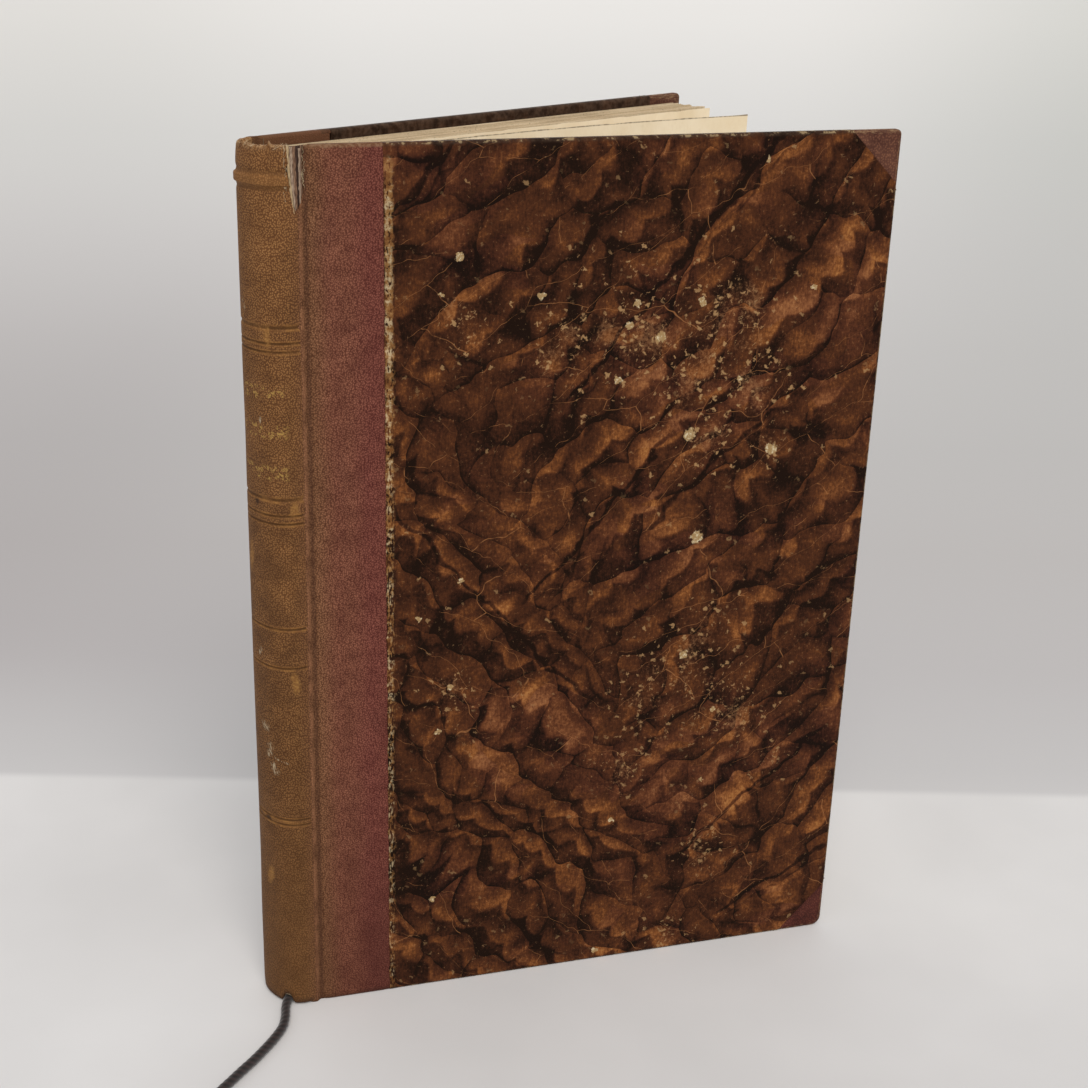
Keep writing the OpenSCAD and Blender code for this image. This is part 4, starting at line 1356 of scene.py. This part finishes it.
def leaf_tree(finish):
    tree, given = new_tree("leaves_of_the_block", **LEAVES)
    count, section, push, seed = (given[k] for k in ("leaves", "section", "push", "seed"))
    number = count.node("GeometryNodeInputIndex")
    share = number / (count - 1)
    from_mid = abs(share * 2 - 1)
    gather = (number / section).floor()

    def chance(spread, index, salt):
        return count.node("FunctionNodeRandomValue", {"data_type": "FLOAT"},
                          {2: -spread, 3: spread, "ID": index, "Seed": seed + salt}, 1)

    out = (1 - from_mid.least(0.995) ** 2.3) ** (1 / 2.3) * BLOCK_ROUND
    fore = BLOCK_W - (share * math.pi).sine() * FORE_HOLLOW
    step_in = 2 * BLOCK_HALF / count
    x_low = 0.15 - out
    x_high = fore + chance(push * 0.9, number, 1) + chance(push * 0.8, gather, 2) - push
    z_high = (chance(push * 0.55, number, 3) + chance(push * 0.8, gather, 4)
              + BLOCK_HIGH - push * 0.6)
    z_low = chance(push * 0.5, number, 5) + BLOCK_LOW + push * 0.6
    y = (BLOCK_MID - BLOCK_HALF) + step_in * (number + 0.5)
    middle = count.node("ShaderNodeCombineXYZ", {}, {
        0: (x_low + x_high) / 2 + float(SHIFT[0]), 1: y + float(SHIFT[1]),
        2: (z_low + z_high) / 2}).times((MM, MM, MM))
    size = count.node("ShaderNodeCombineXYZ", {}, {0: x_high - x_low, 1: step_in * 0.86,
                                                   2: z_high - z_low}).times((MM, MM, MM))
    points = count.node("GeometryNodePoints", {}, {"Count": count, "Position": middle})
    card = count.node("GeometryNodeMeshCube", {}, {"Size": (1, 1, 1), "Vertices X": 11,
                                                   "Vertices Y": 2, "Vertices Z": 3})
    laid = points.node("GeometryNodeInstanceOnPoints", {}, {
        "Points": points, "Instance": card, "Scale": size})
    real = laid.node("GeometryNodeRealizeInstances", {}, {0: laid})
    place = real.node("GeometryNodeInputPosition")
    wave = place.node("ShaderNodeTexNoise", {}, {
        "Vector": place.times((24, 60, 16)), "Scale": 1.0, "Detail": 1.0})
    free = (place.part(0) * 1000 - float(SHIFT[0])).step(0, 20) * (wave - 0.5) * 0.36 * MM
    waved = real.node("GeometryNodeSetPosition", {}, {
        "Geometry": real, "Offset": real.node("ShaderNodeCombineXYZ", {}, {1: free})})
    end_tree(tree, waved, finish)
    return tree


leaves = grown("book_leaves", leaf_tree(leaf_paper), LEAVES, leaf_paper)
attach(leaves, "book_block")
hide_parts("text_block")

# %% [markdown]
# ## The two leaves that stand curled
# The flyleaf and the free endpaper have followed the cover part of the way. Each
# turns more and more along its width. They are glued near the joint, so close to
# it they stay with the book and further out they go with the cover.

# %% Curled leaves
LEAF_LENGTH = 132.1


def curled_sheet(name, rest_y, reach, low, high, thick, seed, finish):
    """A leaf that turns toward the cover along its width, as if to reach it at that length."""
    along = np.linspace(0, LEAF_LENGTH, 67)
    up = np.linspace(low, high, 42)
    x, z = np.meshgrid(along, up)
    angle = smooth(np.clip(x / reach, 0, 1)) * math.radians(FRONT_OPEN)
    bow = np.clip(x / 40, 0, 1) * 0.14 * wobble(z * 0.35 + x * 0.1, seed, 9)
    edge = np.clip((x - LEAF_LENGTH + 1) / 1, 0, 1) * 0.12 * wobble(z, seed + 1, 1.7)
    top = np.clip((z - high + 1) / 1, 0, 1) * 0.10 * wobble(x, seed + 2, 2.0)
    length = x + edge
    deep = rest_y - length * np.sin(angle) + bow
    face = np.stack([length * np.cos(angle), deep - thick, z + top], -1)
    back = np.stack([length * np.cos(angle), deep, z + top], -1)
    sheet = np.stack([x, z, 0 * x], -1)
    piece = sheet_piece(name, face, back, sheet, finish)
    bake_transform(piece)
    return piece


flyleaf = curled_sheet("curled_flyleaf", 3.7, 1300, 2.7, 207.7, 0.16, 2, cream_paper)
endleaf = curled_sheet("curled_free_endpaper", 3.40, 430, 2.7, 207.3, 0.16, 5, dusty_paper)
for piece, node in ((flyleaf, "front_flyleaf"), (endleaf, "front_free_endpaper")):
    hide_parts(node)

# %% [markdown]
# ## Finishes for the parts that are already right
# Boards, pastedowns, the back endpaper, spine strip, linings and tapes have their
# true shapes in the construction model, so they only get finishes here.

# %% Finishes of the solids
def raw_finish(name, light, dark, size, stretch=(1, 1, 1)):
    finish, shader, place = start_finish(name)
    grain = place.times(stretch).noise(size, 4, 0.65)
    cloudy = place.noise(20, 2)
    colour = (grain * 0.6 + cloudy * 0.4).ramp((0.3, dark), (0.7, light))
    end_finish(shader, colour, 0.9, grain)
    return finish


def woven_finish(name, light, dark, pitch):
    """Threads over and under each other."""
    finish, shader, place = start_finish(name)
    turn_up = 2 * math.pi / pitch
    warp, weft = (place.part(0) * turn_up).sine(), (place.part(2) * turn_up).sine()
    weave = warp * weft * 0.5 + 0.5
    colour = (weave * 0.6 + place.noise(3, 3) * 0.5).ramp((0.3, dark), (0.8, light))
    end_finish(shader, colour, 0.85, weave, 0.08)
    return finish


board_grey = raw_finish("grey_brown_pasteboard", "8a7860", "5d4e3c", 0.8, stretch=(1, 0.3, 1))
stiff_grey = raw_finish("stiff_spine_strip", "96836a", "6b5b45", 0.7)
glued = raw_finish("glued_lining_paper", "b09a74", "7d6647", 1.2)
linen = woven_finish("linen_tape", "cbbd9a", "94845f", 0.7)
plain_finishes = {
    board_grey: ("front_board", "back_board"),
    stiff_grey: ("spine_inlay",), glued: ("spine_lining",),
    linen: ("tail_sewing_tape", "middle_sewing_tape", "head_sewing_tape"),
    pasted_paper: ("front_pastedown", "back_pastedown"), cream_paper: ("back_free_endpaper",)}
for finish, nodes in plain_finishes.items():
    for node in nodes:
        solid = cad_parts[node]
        for slot in solid.material_slots:
            slot.material = finish
print("finishes given to", sum(len(nodes) for nodes in plain_finishes.values()), "solids")

# %% [markdown]
# ## The table, the wall and the light
# The photograph shows a pale table and a pale wall behind it, in soft light. The covers swing out
# over the back of the table, so no wall stands there: the wall, with its painted light and shade,
# is painted on the floor plane beyond the line where the two meet.

# %% Stage and light
WALL_WAY, WALL_AT = (0.6917, 0.7222, 0.0), 0.0822


def stage_finish():
    finish, shader, place = start_finish("pale_table_and_wall")
    metres = place.times((MM, MM, MM))
    beyond = metres.along(WALL_WAY) - WALL_AT
    across = metres.along((WALL_WAY[1], -WALL_WAY[0], 0))
    table = place.noise(70, 3).ramp((0.35, "d6d3d1"), (0.65, "dddad8"))
    height = beyond / (beyond + 0.5)
    # the wall's painted light and shade: darkest just above the table, lighter toward the top
    wall = height.ramp((0.0, "c8c5c4"), (0.03, "c4c1c0"), (0.15, "bcb8b7"), (0.29, "bab6b4"),
                       (0.41, "bcb9b7"), (0.52, "c3c0be"), (0.64, "cecbc9"), (0.75, "d8d6d3"),
                       (0.87, "e9e6e2"), (0.95, "eeebe7"))
    # painted shade: the wall is darker on the left, low down beside the book
    left = across.step(-0.02, -0.25) * height.step(0.02, 0.2) * height.step(0.75, 0.45)
    wall = wall.tint("efedee", left)
    # painted shade across the wall: a greyer tone to the right, and a slight one at the upper left
    sideways = (across + 0.0235) / (beyond + 0.459) - 0.05
    wall = wall.tint("e6e8e6", sideways.step(0.10, 0.32) * height.step(0.3, 0.85))
    wall = wall.tint("f3f3f2", sideways.step(-0.10, -0.30) * height.step(0.5, 0.9))
    colour = table.mix(wall, beyond.step(-0.002, 0.003))
    end_finish(shader, colour, 0.55, place.noise(2, 3), 0.02)
    return finish


bpy.ops.mesh.primitive_plane_add(size=12)
table = bpy.context.object
table.name = "table"
table.data.materials.append(stage_finish())

world = bpy.data.worlds.new("soft_room")
bpy.context.scene.world = world
world.use_nodes = True
room = world.node_tree
seen = Stain(room.nodes.new("ShaderNodeLightPath").outputs["Is Camera Ray"])
plain_view = seen + seen.other("Is Glossy Ray") + seen.other("Is Transmission Ray")
shown = room.nodes["Background"]
ambient = room.nodes.new("ShaderNodeBackground")
shown.inputs["Color"].default_value = linear("dedbd7")
ambient.inputs["Color"].default_value = (0.93, 0.96, 1.0, 1)
ambient.inputs["Strength"].default_value = 0.6
pick = seen.node("MixShader", {}, {0: plain_view.least(1.0)})
room.links.new(ambient.outputs[0], pick.socket.node.inputs[1])
room.links.new(shown.outputs[0], pick.socket.node.inputs[2])
room.links.new(pick.socket, room.nodes["World Output"].inputs["Surface"])


def soft_sun(name, azimuth, elevation, strength, spread, colour):
    lamp = bpy.data.lights.new(name, "SUN")
    lamp.energy, lamp.angle, lamp.color = strength, math.radians(spread), colour
    holder = bpy.data.objects.new(name, lamp)
    toward = Vector((math.sin(math.radians(azimuth)) * math.cos(math.radians(elevation)),
                     math.cos(math.radians(azimuth)) * math.cos(math.radians(elevation)),
                     math.sin(math.radians(elevation))))
    holder.rotation_mode = "QUATERNION"
    holder.rotation_quaternion = toward.to_track_quat("Z", "Y")
    bpy.context.scene.collection.objects.link(holder)


soft_sun("window_light", 218, 48, 1.95, 35, (1.0, 0.97, 0.93))
bpy.context.scene.view_settings.view_transform = "Standard"
